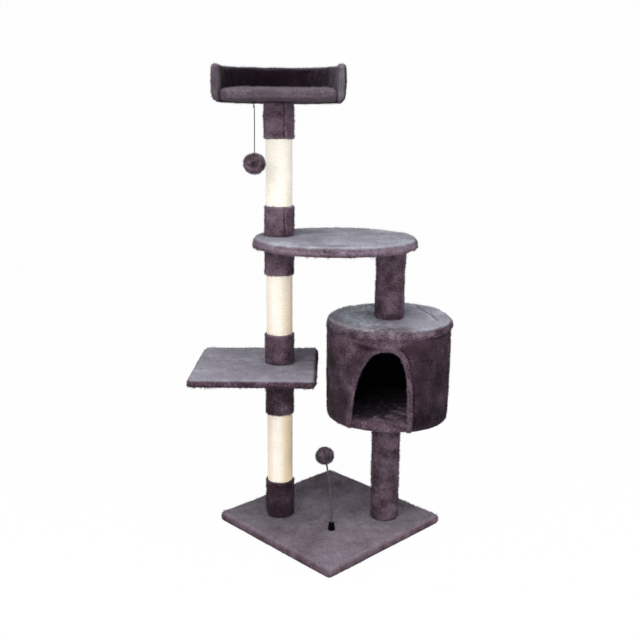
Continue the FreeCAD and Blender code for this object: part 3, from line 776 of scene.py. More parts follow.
def sleevePiece(node, x, seam, rings):
    # each ring is one tube of plush; an end that meets a board is tucked in, a free end flares
    lowest, highest = spot(node)[:2]
    grids, spans = [], []
    for k, (low, high, *rest) in enumerate(rings):
        low = lowest[2] if low is None else low * mm
        high = highest[2] if high is None else high * mm
        spans.append((low, high, *rest))
        grids.append((turnedRing(x, low, high), True, True,
                      (0, k / len(rings), 1, (k + 0.97) / len(rings))))
    seamTurn = math.radians(seam)

    def fromSeam(co):
        turn = np.arctan2(co[:, 1], co[:, 0] - x)
        wavy = seamTurn + 0.03 * np.sin(co[:, 2] * 95) + 0.02 * np.sin(co[:, 2] * 260 + 1)
        return ((turn - wavy + math.pi) % (2 * math.pi) - math.pi) * 34 * mm

    def relief(co, out):
        flat, radius = fromAxis(co, (x, 0))
        turn = np.arctan2(flat[:, 1], flat[:, 0])
        outside = ease(radius, sleeve["inner"] + 2 * mm, sleeve["outer"] - 1 * mm)
        push = lumps(co, (50, 0.9), (18, 0.7), (8, 0.4))
        away = fromSeam(co)
        push = push - 1.6 * mm * near(away, 1.7 * mm) + 1.0 * mm * near(away - 4.2 * mm, 2.6 * mm)
        lift = np.zeros(len(co))
        ring = np.stack([np.cos(turn), np.sin(turn), co[:, 2] * 0], 1) * 36 * mm
        ragged = softNoise(ring, 13 * mm, 21) + 0.6 * softNoise(ring, 5 * mm, 22)
        for low, high, freeLow, freeHigh, *_ in spans:
            inside = (co[:, 2] > low - 0.1 * mm) & (co[:, 2] < high + 0.1 * mm)
            nearHigh = ease(co[:, 2], high - sleeve["flareOver"], high) * inside
            nearLow = ease(-co[:, 2], -low - sleeve["flareOver"], -low) * inside
            free = nearHigh * freeHigh + nearLow * freeLow
            push = push + sleeve["flare"] * free
            push = push - sleeve["tuck"] * (nearHigh * (not freeHigh) + nearLow * (not freeLow))
            lift = lift + sleeve["ragged"] * ragged * free
        moved = alongSpokes(co, (x, 0), push * outside)
        moved[:, 2] = lift * outside
        return moved

    def outer(co, out):
        away, reach = np.abs(fromSeam(co)), fromAxis(co, (x, 0))[1]
        return (reach > sleeve["inner"] + 3 * mm) * (1 - 0.9 * near(away, 1.6 * mm))

    def tone(co, out):
        away, z = fromSeam(co), co[:, 2]
        edge, level = np.zeros(len(co)), np.zeros(len(co))
        # each ring's own tone lightens or darkens it as a whole: painted light and shade
        for low, high, freeLow, freeHigh, shade in spans:
            edge += freeHigh * near(z - high, 3 * mm) + freeLow * near(z - low, 3 * mm)
            level += shade * (z > low - 8 * mm) * (z < high + 8 * mm)
        seamed = 0.3 * near(away - 3.6 * mm, 2.2 * mm) - 0.8 * near(away, 1.5 * mm)
        level = level + seamed + 0.3 * np.clip(edge, 0, 1)
        return level + 0.40 * softNoise(co, 26 * mm, 51) + 0.2 * softNoise(co, 11 * mm, 52)

    pile = dict(shortPile, spacing=2.7 * mm, where=outer)
    name = node.replace("post_", "post").replace("_sleeve", "Sleeve")
    piece = makePiece(name, grids, relief, [pile], tone, 0.1)
    return dress(piece, plushBrushed, "stand", "plush", node)


for row in sleeves:
    sleevePiece(*row)
print("sleeves done")

rope = {"inner": 27.0 * mm, "pitch": 4.3 * mm, "height": 4.2 * mm, "depth": 1.3 * mm,
        "around": 96, "across": 8, "lay": 9 * mm}
sisalLook = {"pale": (0.96, 0.93, 0.85), "shadedBrown": (0.88, 0.73, 0.53), "tan": (0.80, 0.64, 0.45),
             "deep": (0.62, 0.45, 0.28)}


def windingSurface(node):
    # radius over turn and height: half-round bulges that climb one pitch a turn, each with the
    # shallow ridges of its strands slanting along it, and a plain wall inside
    low, high, middle = spot(node)
    rows = int(round((high[2] - low[2]) / rope["pitch"] * rope["across"])) + 1
    level = np.linspace(low[2], high[2], rows)
    turn, ways = circle(rope["around"])
    turn = turn[:, None]
    wound = (level[None] - low[2]) / rope["pitch"] - turn / (2 * math.pi)
    across = 2 * (wound % 1) - 1 - 0.08 * np.sin(3 * turn) * np.sin(level[None] * 40)
    across = np.clip(across, -1, 1)
    bulge = np.sqrt(np.maximum(1 - across ** 2, 0.0))
    along = (np.floor(wound) + turn / (2 * math.pi)) * 2 * math.pi * 29 * mm
    ply = np.cos(2 * math.pi * along / rope["lay"] + across * 2.4)
    uneven = softNoise(np.stack([along * 0.3, np.floor(wound) * 7 * mm, along * 0], 2), 20 * mm, 4)
    radius = rope["inner"] + rope["height"] - rope["depth"] * (1 - bulge)
    radius = radius + bulge * (0.14 * mm * ply + 0.15 * mm * uneven)
    radius = np.concatenate([radius, np.full((len(turn), 2), rope["inner"])], 1)
    level = np.broadcast_to(np.concatenate([level, [high[2], low[2]]]), radius.shape)
    flat = middle[:2] + radius[:, :, None] * ways[:, None]
    return np.concatenate([flat, level[:, :, None]], 2)


def sisalMaterial():
    # pale fibres with tan ones among them, painted shade down in the grooves and browner on the
    # rope's sides and lower windings
    material, tree, shader = newMaterial("sisal")
    where = tree.nodes.new("ShaderNodeTexCoord").outputs["Object"]
    patch = spread(tree, noiseNode(tree, where, 30.0, 3.0), 0.35, 0.75)
    stretch = addNode(tree, "ShaderNodeMapping", {"Vector": where, "Scale": (1, 1, 5)})
    fibre = noiseNode(tree, stretch.outputs[0], 150.0, 4.0, 0.7)
    streak = spread(tree, fibre, 0.52, 0.64)
    grooveShade, brownedAndShaded = readValue(tree, "grooveShade"), readValue(tree, "brownedAndShaded")
    pale = blendColour(tree, brownedAndShaded, paint(sisalLook["pale"]), paint(sisalLook["shadedBrown"]))
    amount = plus(tree, times(tree, patch, 0.12), times(tree, streak, plus(tree, brownedAndShaded, 0.4)))
    base = blendColour(tree, amount, pale, paint(sisalLook["tan"]))
    sunken = times(tree, grooveShade, plus(tree, times(tree, brownedAndShaded, 0.4), 0.2))
    deep = blendColour(tree, sunken, base, paint(sisalLook["deep"]))
    feed(tree, shader, {"Base Color": deep, "Roughness": 0.85, "Specular IOR Level": 0.2})
    addBump(tree, shader, fibre, 0.5, 0.5 * mm)
    return material


def buildWinding(node, material):
    middle = spot(node)[2]

    def outer(co, out):
        return (fromAxis(co, middle[:2])[1] > rope["inner"] + 2 * mm) * 1.0

    stray = {"spacing": 7 * mm, "length": 4.5 * mm, "width": 0.25 * mm, "lean": 2.0, "loose": 0.7,
             "swirl": 30 * mm, "comb": (0, 0, 0), "where": outer}
    name = node.replace("_sisal", "Winding").replace("post_", "post")
    piece = makePiece(name, [(windingSurface(node), True, True, (0, 0, 1, 1))], None, [stray])
    co = readMesh(piece.data)[0]
    crest = rope["inner"] + rope["height"]
    depth = ease(fromAxis(co, middle[:2])[1], crest - rope["depth"], crest - 0.3 * rope["depth"])
    keepValues(piece.data, "grooveShade", 1 - depth)
    # the lower windings are browner, most of all round their right side and their left edge:
    # painted shade where the rope turns from the light
    toRight = co[:, 0] - middle[0]
    sidesShaded = 0.06 + 0.94 * ease(toRight, 0, 0.02) + 0.5 * ease(-toRight, 0.01, 0.025)
    wearAndShade = ease(-co[:, 2], -0.9, -0.3) * sidesShaded + 0.06 * ease(toRight, 0.005, 0.015)
    keepValues(piece.data, "brownedAndShaded", wearAndShade)
    return dress(piece, material, "stand", "sisal", node)


sisal = sisalMaterial()
for node in ("post_1_sisal", "post_2_sisal", "post_3_sisal"):
    buildWinding(node, sisal)
print("rope wound")

cabin = {"x": 0.132, "y": 0.015, "outer": 147.8 * mm, "inner": 138.7 * mm, "step": 5 * mm,
         "doorTurn": 10.2, "doorPower": 2.55, "doorDraw": 18 * mm, "drawHigh": 206 * mm,
         "doorHalf": 69 * mm, "doorHigh": 197 * mm,
         "bindHalf": 71.3 * mm, "bindHigh": 199.3 * mm, "bindWide": 12.6 * mm,
         "bindProud": 0.2 * mm, "seamProud": 1.6 * mm, "bindIn": 137.4 * mm, "bindPower": 0.6,
         "seamAway": 8.5 * mm, "seamWide": 3 * mm, "seamFrom": 0.02, "foldHigh": 0.203,
         "foldHeading": 0.42, "rightFrom": 0.4, "rightTo": 0.9, "hem": 8 * mm}
cabinAxis = np.array([cabin["x"], cabin["y"]])

def cabinPoint(turn, level, radius):
    # turn is measured from the door's direction, rightwards
    heading = turn - math.radians(cabin["doorTurn"])
    return np.stack(np.broadcast_arrays(cabinAxis[0] + radius * np.sin(heading),
                                        cabinAxis[1] - radius * np.cos(heading), level), -1)


def onCabin(across, level, radius):
    # a point by its sideways distance from the door's middle, its height and its radius
    return cabinPoint(np.arcsin(np.clip(across / radius, -1, 1)), level, radius)


def drawnOver(rise):
    # how far the arch has moved to the right at this height
    return cabin["doorDraw"] * (rise / cabin["drawHigh"]) ** 2


def archCurve(half, high, turn):
    # a squared ellipse: cosine and sine to the power 2/p, its top drawn to the right
    power = 2 / cabin["doorPower"]
    rise = high * np.abs(np.sin(turn)) ** power
    across = half * np.sign(np.cos(turn)) * np.abs(np.cos(turn)) ** power
    return across + drawnOver(rise), rise


def fromFront(co):
    # heading rightwards from straight ahead of the cabin
    return np.arctan2(co[:, 0] - cabinAxis[0], cabinAxis[1] - co[:, 1])


def rightSide(co):
    # 1 on the cabin's right and on round behind it, 0 on its front and left
    return ease(fromFront(co), cabin["rightFrom"], cabin["rightTo"])


def fromDoor(co, low):
    # heading, sideways distance, height over the floor, and how far from the arch's edge
    radius, heading = fromAxis(co, cabinAxis)[1], fromFront(co)
    faced = (heading + math.radians(cabin["doorTurn"]) + math.pi) % (2 * math.pi) - math.pi
    up = co[:, 2] - low
    across = radius * np.sin(faced) - drawnOver(np.clip(up, 0, cabin["doorHigh"]))
    power = cabin["doorPower"]
    shape = (np.abs(across / cabin["doorHalf"]) ** power
             + np.abs(np.maximum(up, 0) / cabin["doorHigh"]) ** power) ** (1 / power)
    away = (shape - 1) * np.hypot(across, up) / np.maximum(shape, 1e-6)
    return heading, across, up, np.where(np.cos(faced) < 0, 1.0, away)


def cabinWall():
    # an outer and an inner skin from the door's right side round the back to its left side, row
    # by row; over the arch the two sides meet
    low, high = spot("cabin_wall_plush")[:2]
    turn = np.linspace(0, math.pi / 2, 36)
    across, rise = archCurve(cabin["doorHalf"], cabin["doorHigh"], turn)
    half = across - drawnOver(rise)
    above = np.arange(rise[-1], high[2] - low[2], cabin["step"])[1:]
    rise = np.concatenate([rise, above, [high[2] - low[2]]])
    half = np.concatenate([half, np.zeros(len(above) + 1)])
    drawn = drawnOver(np.minimum(rise, cabin["doorHigh"]))
    share = np.linspace(0, 1, 92)

    def skin(radius):
        start = np.arcsin((drawn + half) / radius)[None]
        stop = 2 * math.pi + np.arcsin((drawn - half) / radius)[None]
        return cabinPoint(start + (stop - start) * share[:, None], low[2] + rise[None], radius)

    outer, inner = skin(cabin["outer"]), skin(cabin["inner"])
    last = int((half > 1e-6).sum())
    grids = [(outer, False, False, (0, 0.5, 1, 1)), (inner, False, False, (0, 0.06, 1, 0.49))]
    for k, chart in ((0, (0, 0.0, 0.3, 0.02)), (-1, (0.3, 0.0, 0.6, 0.02))):  # the door's sides
        grids.append((np.stack([outer[k, :last + 1], inner[k, :last + 1]]), False, False, chart))
    for k, chart in ((0, (0, 0.025, 1, 0.035)), (-1, (0, 0.04, 1, 0.05))):  # foot and top
        grids.append((np.stack([outer[:, k], inner[:, k]]), False, False, chart))

    def foldLine(heading, up):
        # a soft level fold up on the left of the door, and how strongly it shows
        line = up - cabin["foldHigh"] - 0.004 * np.sin(heading * 6)
        return line, ease(-np.abs(heading + cabin["foldHeading"]), -0.34, -0.08)

    def besideSeam(across, away):
        # the sewn line that follows the binding on the right
        return near(away - cabin["seamAway"], cabin["seamWide"]) * (across > cabin["seamFrom"])

    def relief(co, out):
        heading, across, up, away = fromDoor(co, low[2])
        line, span = foldLine(heading, up)
        push = lumps(co, (80, 0.9), (28, 0.8), (10, 0.4))
        push = push + 1.2 * mm * ease(-away, -24 * mm, -8 * mm) \
            - 2.6 * mm * besideSeam(across, away) - 1.6 * mm * span * near(line, 4 * mm) \
            + 1.1 * mm * span * near(line - 8 * mm, 6 * mm)
        toRight = rightSide(co) * ease(-heading, -2.4, -1.9)
        push = push - 2.0 * mm * near(co[:, 2] - high[2], 5 * mm) * toRight
        push = push - 1.4 * mm * ease(-up, -7 * mm, 0)
        outside = fromAxis(co, cabinAxis)[1] > (cabin["outer"] + cabin["inner"]) / 2
        return alongSpokes(co, cabinAxis, push * outside)

    def outerSkin(co, out):
        outside = fromAxis(co, cabinAxis)[1] > cabin["outer"] - 4 * mm
        return (outside & (np.abs(out[:, 2]) < 0.8)) * 1.0

    def innerFace(co, out):
        inside = fromAxis(co, cabinAxis)[1] < cabin["inner"] + 2 * mm
        return (inside & (co[:, 2] - low[2] > 20 * mm)) * 1.0

    def tone(co, out):
        heading, across, up, away = fromDoor(co, low[2])
        line, span = foldLine(heading, up)
        # paler at the foot, and along the door's folded edge, a painted highlight
        level = 0.30 * ease(-up, -8 * mm, 0) + 0.45 * ease(-away, -17 * mm, -4 * mm)
        level = level - 1.9 * besideSeam(across, away)
        # painted shade in the fold on the left of the door, and a painted highlight just above it
        level = level - 0.5 * span * near(line, 5 * mm) + 0.25 * span * near(line - 9 * mm, 6 * mm)
        toRight, down = rightSide(co), co[:, 2] - high[2]
        # painted shade under the roof's edge on the right, and paler just below it elsewhere
        level = level - 0.9 * near(down, 4 * mm) * toRight
        level = level + 0.25 * near(down, 16 * mm) * (1 - toRight)
        # darker low down on the right and round the right side, paler high up: painted shade and
        # light
        lower = ease(heading, 0.2, 0.6) * ease(-up, -0.07, -0.02)
        level = level + 0.12 * ease(up, 0.12, 0.2) - 0.85 * lower - 0.12 * ease(heading, 0.2, 0.6)
        return level + 0.03 + 0.38 * softNoise(co, 45 * mm, 31) + 0.3 * softNoise(co, 17 * mm, 32)

    def sheenShare(co):
        # painted sheen on faces that look up, none on the hem under the roof
        return 0.3 * (co[:, 2] < high[2] - cabin["hem"])

    piles = [dict(shortPile, spacing=2.7 * mm, where=outerSkin),
             dict(shortPile, spacing=6.5 * mm, length=3 * mm, where=innerFace)]
    piece = makePiece("cabinWall", grids, relief, piles, tone, sheenShare)
    dress(piece, plushBrushed, "stand", "plush", "cabin_wall_plush")
    # the inner face takes the near black plush, painted shade
    piece.data.materials.append(paintedShadePlush)
    reach = fromAxis(pull(piece.data.polygons, "center"), cabinAxis)[1]
    inside = (reach < cabin["inner"] + 0.5 * mm).astype(np.int32)
    piece.data.polygons.foreach_set("material_index", inside)
    return piece


def closed(grid, first, last):
    return np.concatenate([first[None], grid, last[None]])


def cabinBinding():
    # a soft roll, wider than deep, carried over the arch of the doorway on the wall's curve; it
    # stands proud beside its sewn seam on the right and lies flush elsewhere
    low = spot("cabin_wall_plush")[0][2]
    lift = np.linspace(0, math.pi, 120)
    across, up = archCurve(cabin["bindHalf"], cabin["bindHigh"], lift)
    along = unit(np.stack([np.gradient(across), np.gradient(up)], 1))
    way = np.stack([along[:, 1], -along[:, 0]], 1)
    around, power = circle(28)[0], cabin["bindPower"]
    wide = cabin["bindWide"] / 2 * np.sign(np.cos(around)) * np.abs(np.cos(around)) ** power
    deep = np.sign(np.sin(around)) * np.abs(np.sin(around)) ** power
    onRight = ease(-lift, -1.2, -0.9)[:, None]
    proud = cabin["bindProud"] + (cabin["seamProud"] - cabin["bindProud"]) * onRight
    outer = cabin["outer"] + proud
    radius = (outer + cabin["bindIn"]) / 2 + (outer - cabin["bindIn"]) / 2 * deep[None]
    uneven = softNoise(np.stack([lift * 0.12, lift * 0, lift * 0], 1), 18 * mm, 8)[:, None]
    wide = wide[None] * (1 + 0.08 * uneven)
    grid = onCabin(across[:, None] + wide * way[:, 0:1],
                   low + np.maximum(up[:, None] + wide * way[:, 1:2], 0.3 * mm), radius)
    ends = [np.repeat(grid[k].mean(0)[None], grid.shape[1], 0) for k in (0, -1)]
    grid = closed(grid, *ends)

    def relief(co, out):
        return lumps(co, (30, 0.5), (11, 0.4))

    def tone(co, out):
        return 0.45 + 0.25 * softNoise(co, 14 * mm, 12)

    pile = dict(shortPile, spacing=2.3 * mm, length=3.6 * mm)
    piece = makePiece("doorBinding", grid, relief, [pile], tone, 0.3)
    return dress(piece, plush, "stand", "plush", "cabin_door_binding")


roofSize = {"radius": 149.0 * mm, "sunk": 1.8 * mm, "topRound": 10 * mm, "lowRound": 1.5 * mm,
            "bulge": 0.6 * mm, "step": 3.5 * mm, "raised": 6 * mm, "crown": 1.6 * mm,
            "aside": 2.2 * mm, "creaseStart": (0.072, 0.118), "creaseStop": (0.119, -0.055)}


def roofCover():
    # a disc with a wide soft rim, raised behind, that meets the wall with no step on the left
    size = roofSize
    low, high = spot("cabin_roof_plush")[:2]
    outward = circle(220)[1]
    grid = coveredBoard(cabinAxis + size["radius"] * outward, outward, cabinAxis,
                        low[2] + 0.2 * mm, high[2] - size["sunk"], size)

    def creaseLine(flat):
        # the sewn line that runs from behind the post to the rim on the right
        start, stop = np.array(size["creaseStart"]), np.array(size["creaseStop"])
        way = (stop - start) / np.linalg.norm(stop - start)
        along = (flat - start) @ way
        across = (flat - start) @ np.array([-way[1], way[0]]) + 3 * mm * np.sin(along * 45)
        return across, ease(along, -0.01, 0.01) * ease(-along, -0.180, -0.165)

    def relief(co, out):
        (flat, reach), toRight = fromAxis(co, cabinAxis), rightSide(co)
        push = lumps(co, (60, 0.9), (24, 0.7), (9, 0.35))
        across, span = creaseLine(flat)
        top, y = out[:, 2] > 0.3, flat[:, 1]
        push = push - 1.8 * mm * near(across, 2.2 * mm) * span * top
        push = push - 2.0 * mm * near(co[:, 2] - low[2], 4 * mm) * toRight * (out[:, 2] < 0.5)
        behind = ease(y, 0.02, 0.10) * ease(reach, 0.09, 0.125) * ease(out[:, 2], -0.2, 0.5)
        push = push + size["raised"] * behind * (0.5 + 0.5 * ease(flat[:, 0], -0.05, 0.06))
        push = push + size["crown"] * ease(-reach, -0.145, -0.11) * top
        push = push + 0.9 * mm * softNoise(co, 7 * mm, 23) * ease(-flat[:, 0], -0.03, 0.03)
        moved = out * (push * (out[:, 2] > -0.9))[:, None]
        moved[:, 0] += size["aside"] * ease(flat[:, 0], 0.0, 0.12)
        return moved

    def hem(co, out):
        foot = near(co[:, 2] - low[2] - 2 * mm, 3 * mm)
        return foot * (out[:, 2] < 0.6) * (out[:, 2] > -0.7) * (1 - rightSide(co))

    def ruffled(co):
        # a band along the left and the front edge
        flat, reach = fromAxis(co, cabinAxis)
        band = ease(reach + 6 * mm * softNoise(co, 12 * mm, 5), 0.100, 0.128)
        band = band * ease(-flat[:, 1] - 0.35 * flat[:, 0], -0.01, 0.03)
        return band * ease(-flat[:, 0], -0.09, -0.03)

    def tone(co, out):
        flat, toRight = co[:, :2] - cabinAxis, rightSide(co)
        across, span = creaseLine(flat)
        side, x = ease(-out[:, 2], -0.85, -0.3), flat[:, 0]
        # the rim's side is paler on the left than on the right: painted light
        level = (0.36 + 0.10 * (1 - toRight)) * side \
            - 1.1 * near(across, 2 * mm) * span * (out[:, 2] > 0.3)
        level = level + 0.25 * near(across + 6 * mm, 4 * mm) * span
        # painted shadow along the foot of the rim on the right, under its overhang
        level = level - 1.2 * near(co[:, 2] - low[2], 3.5 * mm) * toRight * (out[:, 2] < 0.5)
        patch = 0.2 * ease(x, 0.02, 0.05) + 0.85 * ease(-x, 0.0, 0.07) + 0.35 * ruffled(co) \
            + 0.55 * softNoise(co, 6 * mm, 19) * ease(-x, -0.04, 0.03)
        return level + patch * ease(out[:, 2], 0.4, 0.8) + 0.25 * side * softNoise(co, 15 * mm, 9)

    def paintedSheen(co, out):
        # painted sheen over the rim all round, more on the left, fading into the wall with no clear
        # line
        return (0.02 + 0.06 * (1 - rightSide(co))) * ease(out[:, 2], -0.2, 0.35)

    def sheenShare(co):
        # painted sheen on the top: full on the right, a little less on the left, much less on the
        # ruffled band along the edge
        left = ease(cabinAxis[0] - co[:, 0], 0.0, 0.05)
        return 1.0 - 0.72 * ruffled(co) - 0.12 * left * (1 - ruffled(co))

    piles = [dict(shortPile, where=facing(-0.7)),
             dict(shortPile, spacing=1.7 * mm, length=6 * mm, comb=(0, 0, -2.0), where=hem)]
    piece = makePiece("cabinRoof", grid, relief, piles, tone, sheenShare, paintedSheen=paintedSheen)
    return dress(piece, plush, "stand", "plush", "cabin_roof_plush")


floorSize = {"radius": 136.3 * mm, "sill": 147.2 * mm, "sunk": 1.8 * mm, "topRound": 7 * mm,
             "lowRound": 5 * mm, "bulge": 0.6 * mm, "step": 6 * mm, "openHalf": (29.5, 26.5)}


def floorCover():
    # a disc whose front runs out between the door's sides to the wall's own face as a sill
    size = floorSize
    low, high = spot("cabin_floor_plush")[:2]
    turn, outward = circle(240)
    faced = (turn + math.radians(90 + cabin["doorTurn"]) + math.pi) % (2 * math.pi) - math.pi
    opened = ease(-np.abs(faced), *(-math.radians(turned) for turned in size["openHalf"]))
    radius = size["radius"] + (size["sill"] - size["radius"]) * opened
    grid = coveredBoard(cabinAxis + radius[:, None] * outward, outward, cabinAxis,
                        low[2] + 0.6 * mm, high[2] - size["sunk"], size)

    def relief(co, out):
        push = lumps(co, (60, 0.8), (22, 1.0), (9, 0.5))
        return (push + boltDent(co) * (out[:, 2] > 0.5)) * (out[:, 2] > -0.9)

    def tone(co, out):
        flat = co[:, :2] - cabinAxis
        front = ease(-flat[:, 1], 0.10, 0.135)
        # darker inside, behind and to the left of the door: painted shadow
        inward = flat[:, 0] + 0.06 - 0.7 * (flat[:, 1] + 0.13)
        tuftsAndShadow = 1.3 * softNoise(co, 10 * mm, 9) + 0.35 - 1.4 * ease(-inward, -0.03, 0.02)
        return 0.4 * front + tuftsAndShadow * (1 - front)

    pile = dict(shortPile, length=4.5 * mm, spacing=2.6 * mm, where=facing(-0.7))
    piece = makePiece("cabinFloor", grid, relief, [pile], tone, 0.02)
    return dress(piece, plush, "stand", "plush", "cabin_floor_plush")


cabinWall()
cabinBinding()
roofCover()
floorCover()
print("cabin covered")

perch = {"wall": 20 * mm, "endHigh": 75 * mm, "backHigh": 85 * mm, "endLift": 3.6 * mm,
         "footDraw": 2.2 * mm, "endRound": 8 * mm, "sunk": 3.0 * mm,
         "radii": (13 * mm, 7.5 * mm, 7.5 * mm, 3 * mm), "rightLit": 220 * mm,
         "leftLit": 38 * mm, "rightEndLight": 0.36, "leftEndLight": 0.18}


def paddedSection(half, low, high, radii):
    # a tall box with a corner radius of its own at each corner, from low outside anticlockwise,
    # walked in even steps
    corners = [(half, low, -90), (half, high, 0), (-half, high, 90), (-half, low, 180)]
    places = []
    for (x, z, start), radius in zip(corners, radii):
        turn = np.radians(start + np.linspace(0, 90, 10))
        centre = np.array([x - np.sign(x) * radius, z + (radius if z == low else -radius)])
        places.append(centre + radius * np.stack([np.cos(turn), np.sin(turn)], 1))
    loop = np.concatenate(places + [places[0][:1]])
    run = np.concatenate([[0], np.cumsum(lengths(np.diff(loop, axis=0)))])
    even = np.linspace(0, run[-1], 56, endpoint=False)
    return np.stack([np.interp(even, run, loop[:, k]) for k in range(2)], 1)


def perchShape():
    # the centre of the bend, its outer radius and the straight run in front, from the solid's box
    low, high, middle = spot("perch_wall_plush")
    outer = (high[0] - low[0]) / 2
    return middle[0], high[1] - outer, outer, low[1], low[2]


def perchWall():
    # the section carried along a U: straight, half round, straight, and drawn in at both ends
    x, arcY, outer, front, base = perchShape()
    sunk = perch["sunk"]
    half = perch["wall"] / 2 - sunk * 0.7
    mid = outer - perch["wall"] / 2
    start = front + 0.6 * sunk
    straight = arcY - start
    whole = 2 * straight + math.pi * mid
    bend = np.linspace(0, math.pi / 2, 7)
    e = perch["endRound"]
    main = np.linspace(e, whole - e, 118)[1:-1]
    run = np.concatenate([e * (1 - np.cos(bend)), main, whole - e * (1 - np.cos(bend[::-1]))])
    draw = np.concatenate([e * (1 - np.sin(bend)), main * 0, e * (1 - np.sin(bend[::-1]))])
    draw = np.minimum(draw, half - 1 * mm)
    arc = np.clip((run - straight) / mid, 0, math.pi)
    spine = np.stack([x - mid * np.cos(arc), arcY + mid * np.sin(arc)], 1)
    spine[:, 1] -= np.maximum(straight - run, 0) + np.maximum(run - (whole - straight), 0)
    outward = np.stack([-np.cos(arc), np.sin(arc)], 1)
    back = np.clip((spine[:, 1] - front) / (outer + straight), 0, 1)
    top = base + perch["endHigh"] + (perch["backHigh"] - perch["endHigh"]) * back - sunk
    behind = front + np.where(arc > 1.5, 0.2, 0.1)
    # the top edge lifts a little towards each front end
    lifted = ease(front + 0.015 + behind - spine[:, 1], front + 0.015, behind)
    top = top + perch["endLift"] * lifted
    rings = np.array([paddedSection(half - draw[k], base - 0.5 * mm + draw[k], top[k] - draw[k],
                                    [max(r - draw[k], 1 * mm) for r in perch["radii"]])
                      for k in range(len(run))])
    # the outer face leans in towards its foot
    foot = ease(-rings[:, :, 1], -base - 50 * mm, -base) * ease(rings[:, :, 0], -2 * mm, 2 * mm)
    rings[:, :, 0] -= perch["footDraw"] * foot
    grid = np.empty(rings.shape[:2] + (3,))
    grid[:, :, :2] = spine[:, None] + outward[:, None] * rings[:, :, 0:1]
    grid[:, :, 2] = rings[:, :, 1]
    ends = []
    for k in (0, -1):
        thin = grid[k].copy()
        thin[:, :2] = spine[k]
        thin[:, 2] = np.clip(thin[:, 2], thin[:, 2].min() + 4 * mm, thin[:, 2].max() - 4 * mm)
        ends.append(thin)
    grid = closed(grid, *ends)

    def insideOf(co):
        # 1 on the face that looks into the bowl
        flat, radius = fromAxis(co, (x, arcY))
        reach = np.where(flat[:, 1] > 0, radius, np.abs(flat[:, 0]))
        return ease(mid - reach, 1 * mm, 6 * mm)

    def pinned(co, out):
        # sewn down along its foot, inside and out
        return co[:, 2] < base + 5 * mm

    def relief(co, out):
        push = lumps(co, (55, 1.3), (22, 0.9), (9, 0.35))
        return push * ease(co[:, 2], base, base + 8 * mm)

    def litInside(co):
        # painted light on the inner face, reaching in from each front end, farther on the right
        reach = np.where(co[:, 0] > x, perch["rightLit"], perch["leftLit"])
        return ease(front + reach - co[:, 1], 0, 0.7 * reach)

    def tone(co, out):
        # a painted highlight along the top of the rim, and painted shade on the inner face, deepest
        # at the back
        rimmed = ease(co[:, 2], base + 60 * mm, base + 84 * mm) * ease(out[:, 2], -0.2, 0.8)
        atBack = ease(co[:, 1], arcY - 10 * mm, arcY + 60 * mm)
        insideShade = (0.75 + 0.4 * atBack) * (1 - 0.75 * litInside(co)) * insideOf(co)
        return 0.3 * rimmed - insideShade + 0.2 * (1 - insideOf(co)) + 0.2 * softNoise(co, 38 * mm, 41)

    def paintedSheen(co, out):
        # painted light on the front faces of the two ends, and on the inner face where the light
        # reaches
        ahead = ease(-co[:, 1], -front - 14 * mm, -front - 3 * mm) * ease(-out[:, 1], 0.0, 0.5)
        side = np.where(co[:, 0] > x, perch["rightEndLight"], perch["leftEndLight"])
        return np.maximum(side * ahead, 0.3 * litInside(co) ** 2 * insideOf(co))

    piece = makePiece("perchWall", grid, relief, [dict(shortPile, spacing=2.8 * mm)], tone, 0.25,
                      puffedUp(pinned), paintedSheen)
    dress(piece, plushBrushed, "stand", "plush", "perch_wall_plush")
    return piece


perchPad = {"topRound": 10 * mm, "lowRound": 7 * mm, "bulge": 0.8 * mm, "step": 6 * mm,
            "frontGap": 1.2 * mm, "corner": 10 * mm}


def perchFloor():
    # a pad cut to the U inside the wall, crowned on top, with a soft front edge
    low, high = spot("perch_floor_plush")[:2]
    x, arcY, outer, front = perchShape()[:4]
    half = outer - perch["wall"] + 0.5 * mm
    depth = arcY + half - (front + perchPad["frontGap"])
    corner, bend = perchPad["corner"], half - 0.1 * mm
    outline, outward = roundedOutline(2 * half, depth, [corner, bend, bend, corner], 5 * mm)
    middle = np.array([x, front + perchPad["frontGap"] + depth / 2])
    grid = coveredBoard(outline + middle, outward, middle, low[2] + 0.6 * mm, high[2] - 2 * mm,
                        perchPad)

    def pinned(co, out):
        return (co[:, 2] < low[2] + 3 * mm) | (out[:, 2] < -0.5)

    def relief(co, out):
        push = lumps(co, (50, 1.2), (20, 0.8), (9, 0.35))
        return push * ease(out[:, 2], -0.9, 0.0)

    def tone(co, out):
        # darker behind the front edge: painted shade in the bowl
        edge = ease(-co[:, 1], -front - 12 * mm, -front - 2 * mm)
        return edge * (-0.15 + 0.3 * ease(out[:, 2], -0.3, 0.5)) - 0.2 * (1 - edge) \
            + 0.1 * softNoise(co, 18 * mm, 43)

    def paintedSheen(co, out):
        # painted highlight along the front edge
        return 0.14 * ease(-co[:, 1], -front - 14 * mm, -front - 3 * mm)

    piece = makePiece("perchFloor", grid, relief,
                      [dict(shortPile, where=facing(-0.8))], tone, 0.3, puffedUp(pinned), paintedSheen)
    dress(piece, plushBrushed, "stand", "plush", "perch_floor_plush")
    return piece


perchWall()
perchFloor()
print("perch covered")

pompom = {"core": {"toy_ball": 0.885, "spring_ball": 0.835}, "flat": 0.93,
          "parting": (0.0, -0.92, 0.38)}
yarn = {"spacing": 1.4 * mm, "length": 4.6 * mm, "width": 1.1 * mm, "lean": 0.5, "loose": 0.3,
        "swirl": 14 * mm, "comb": (0, 0, 0), "where": everywhere}


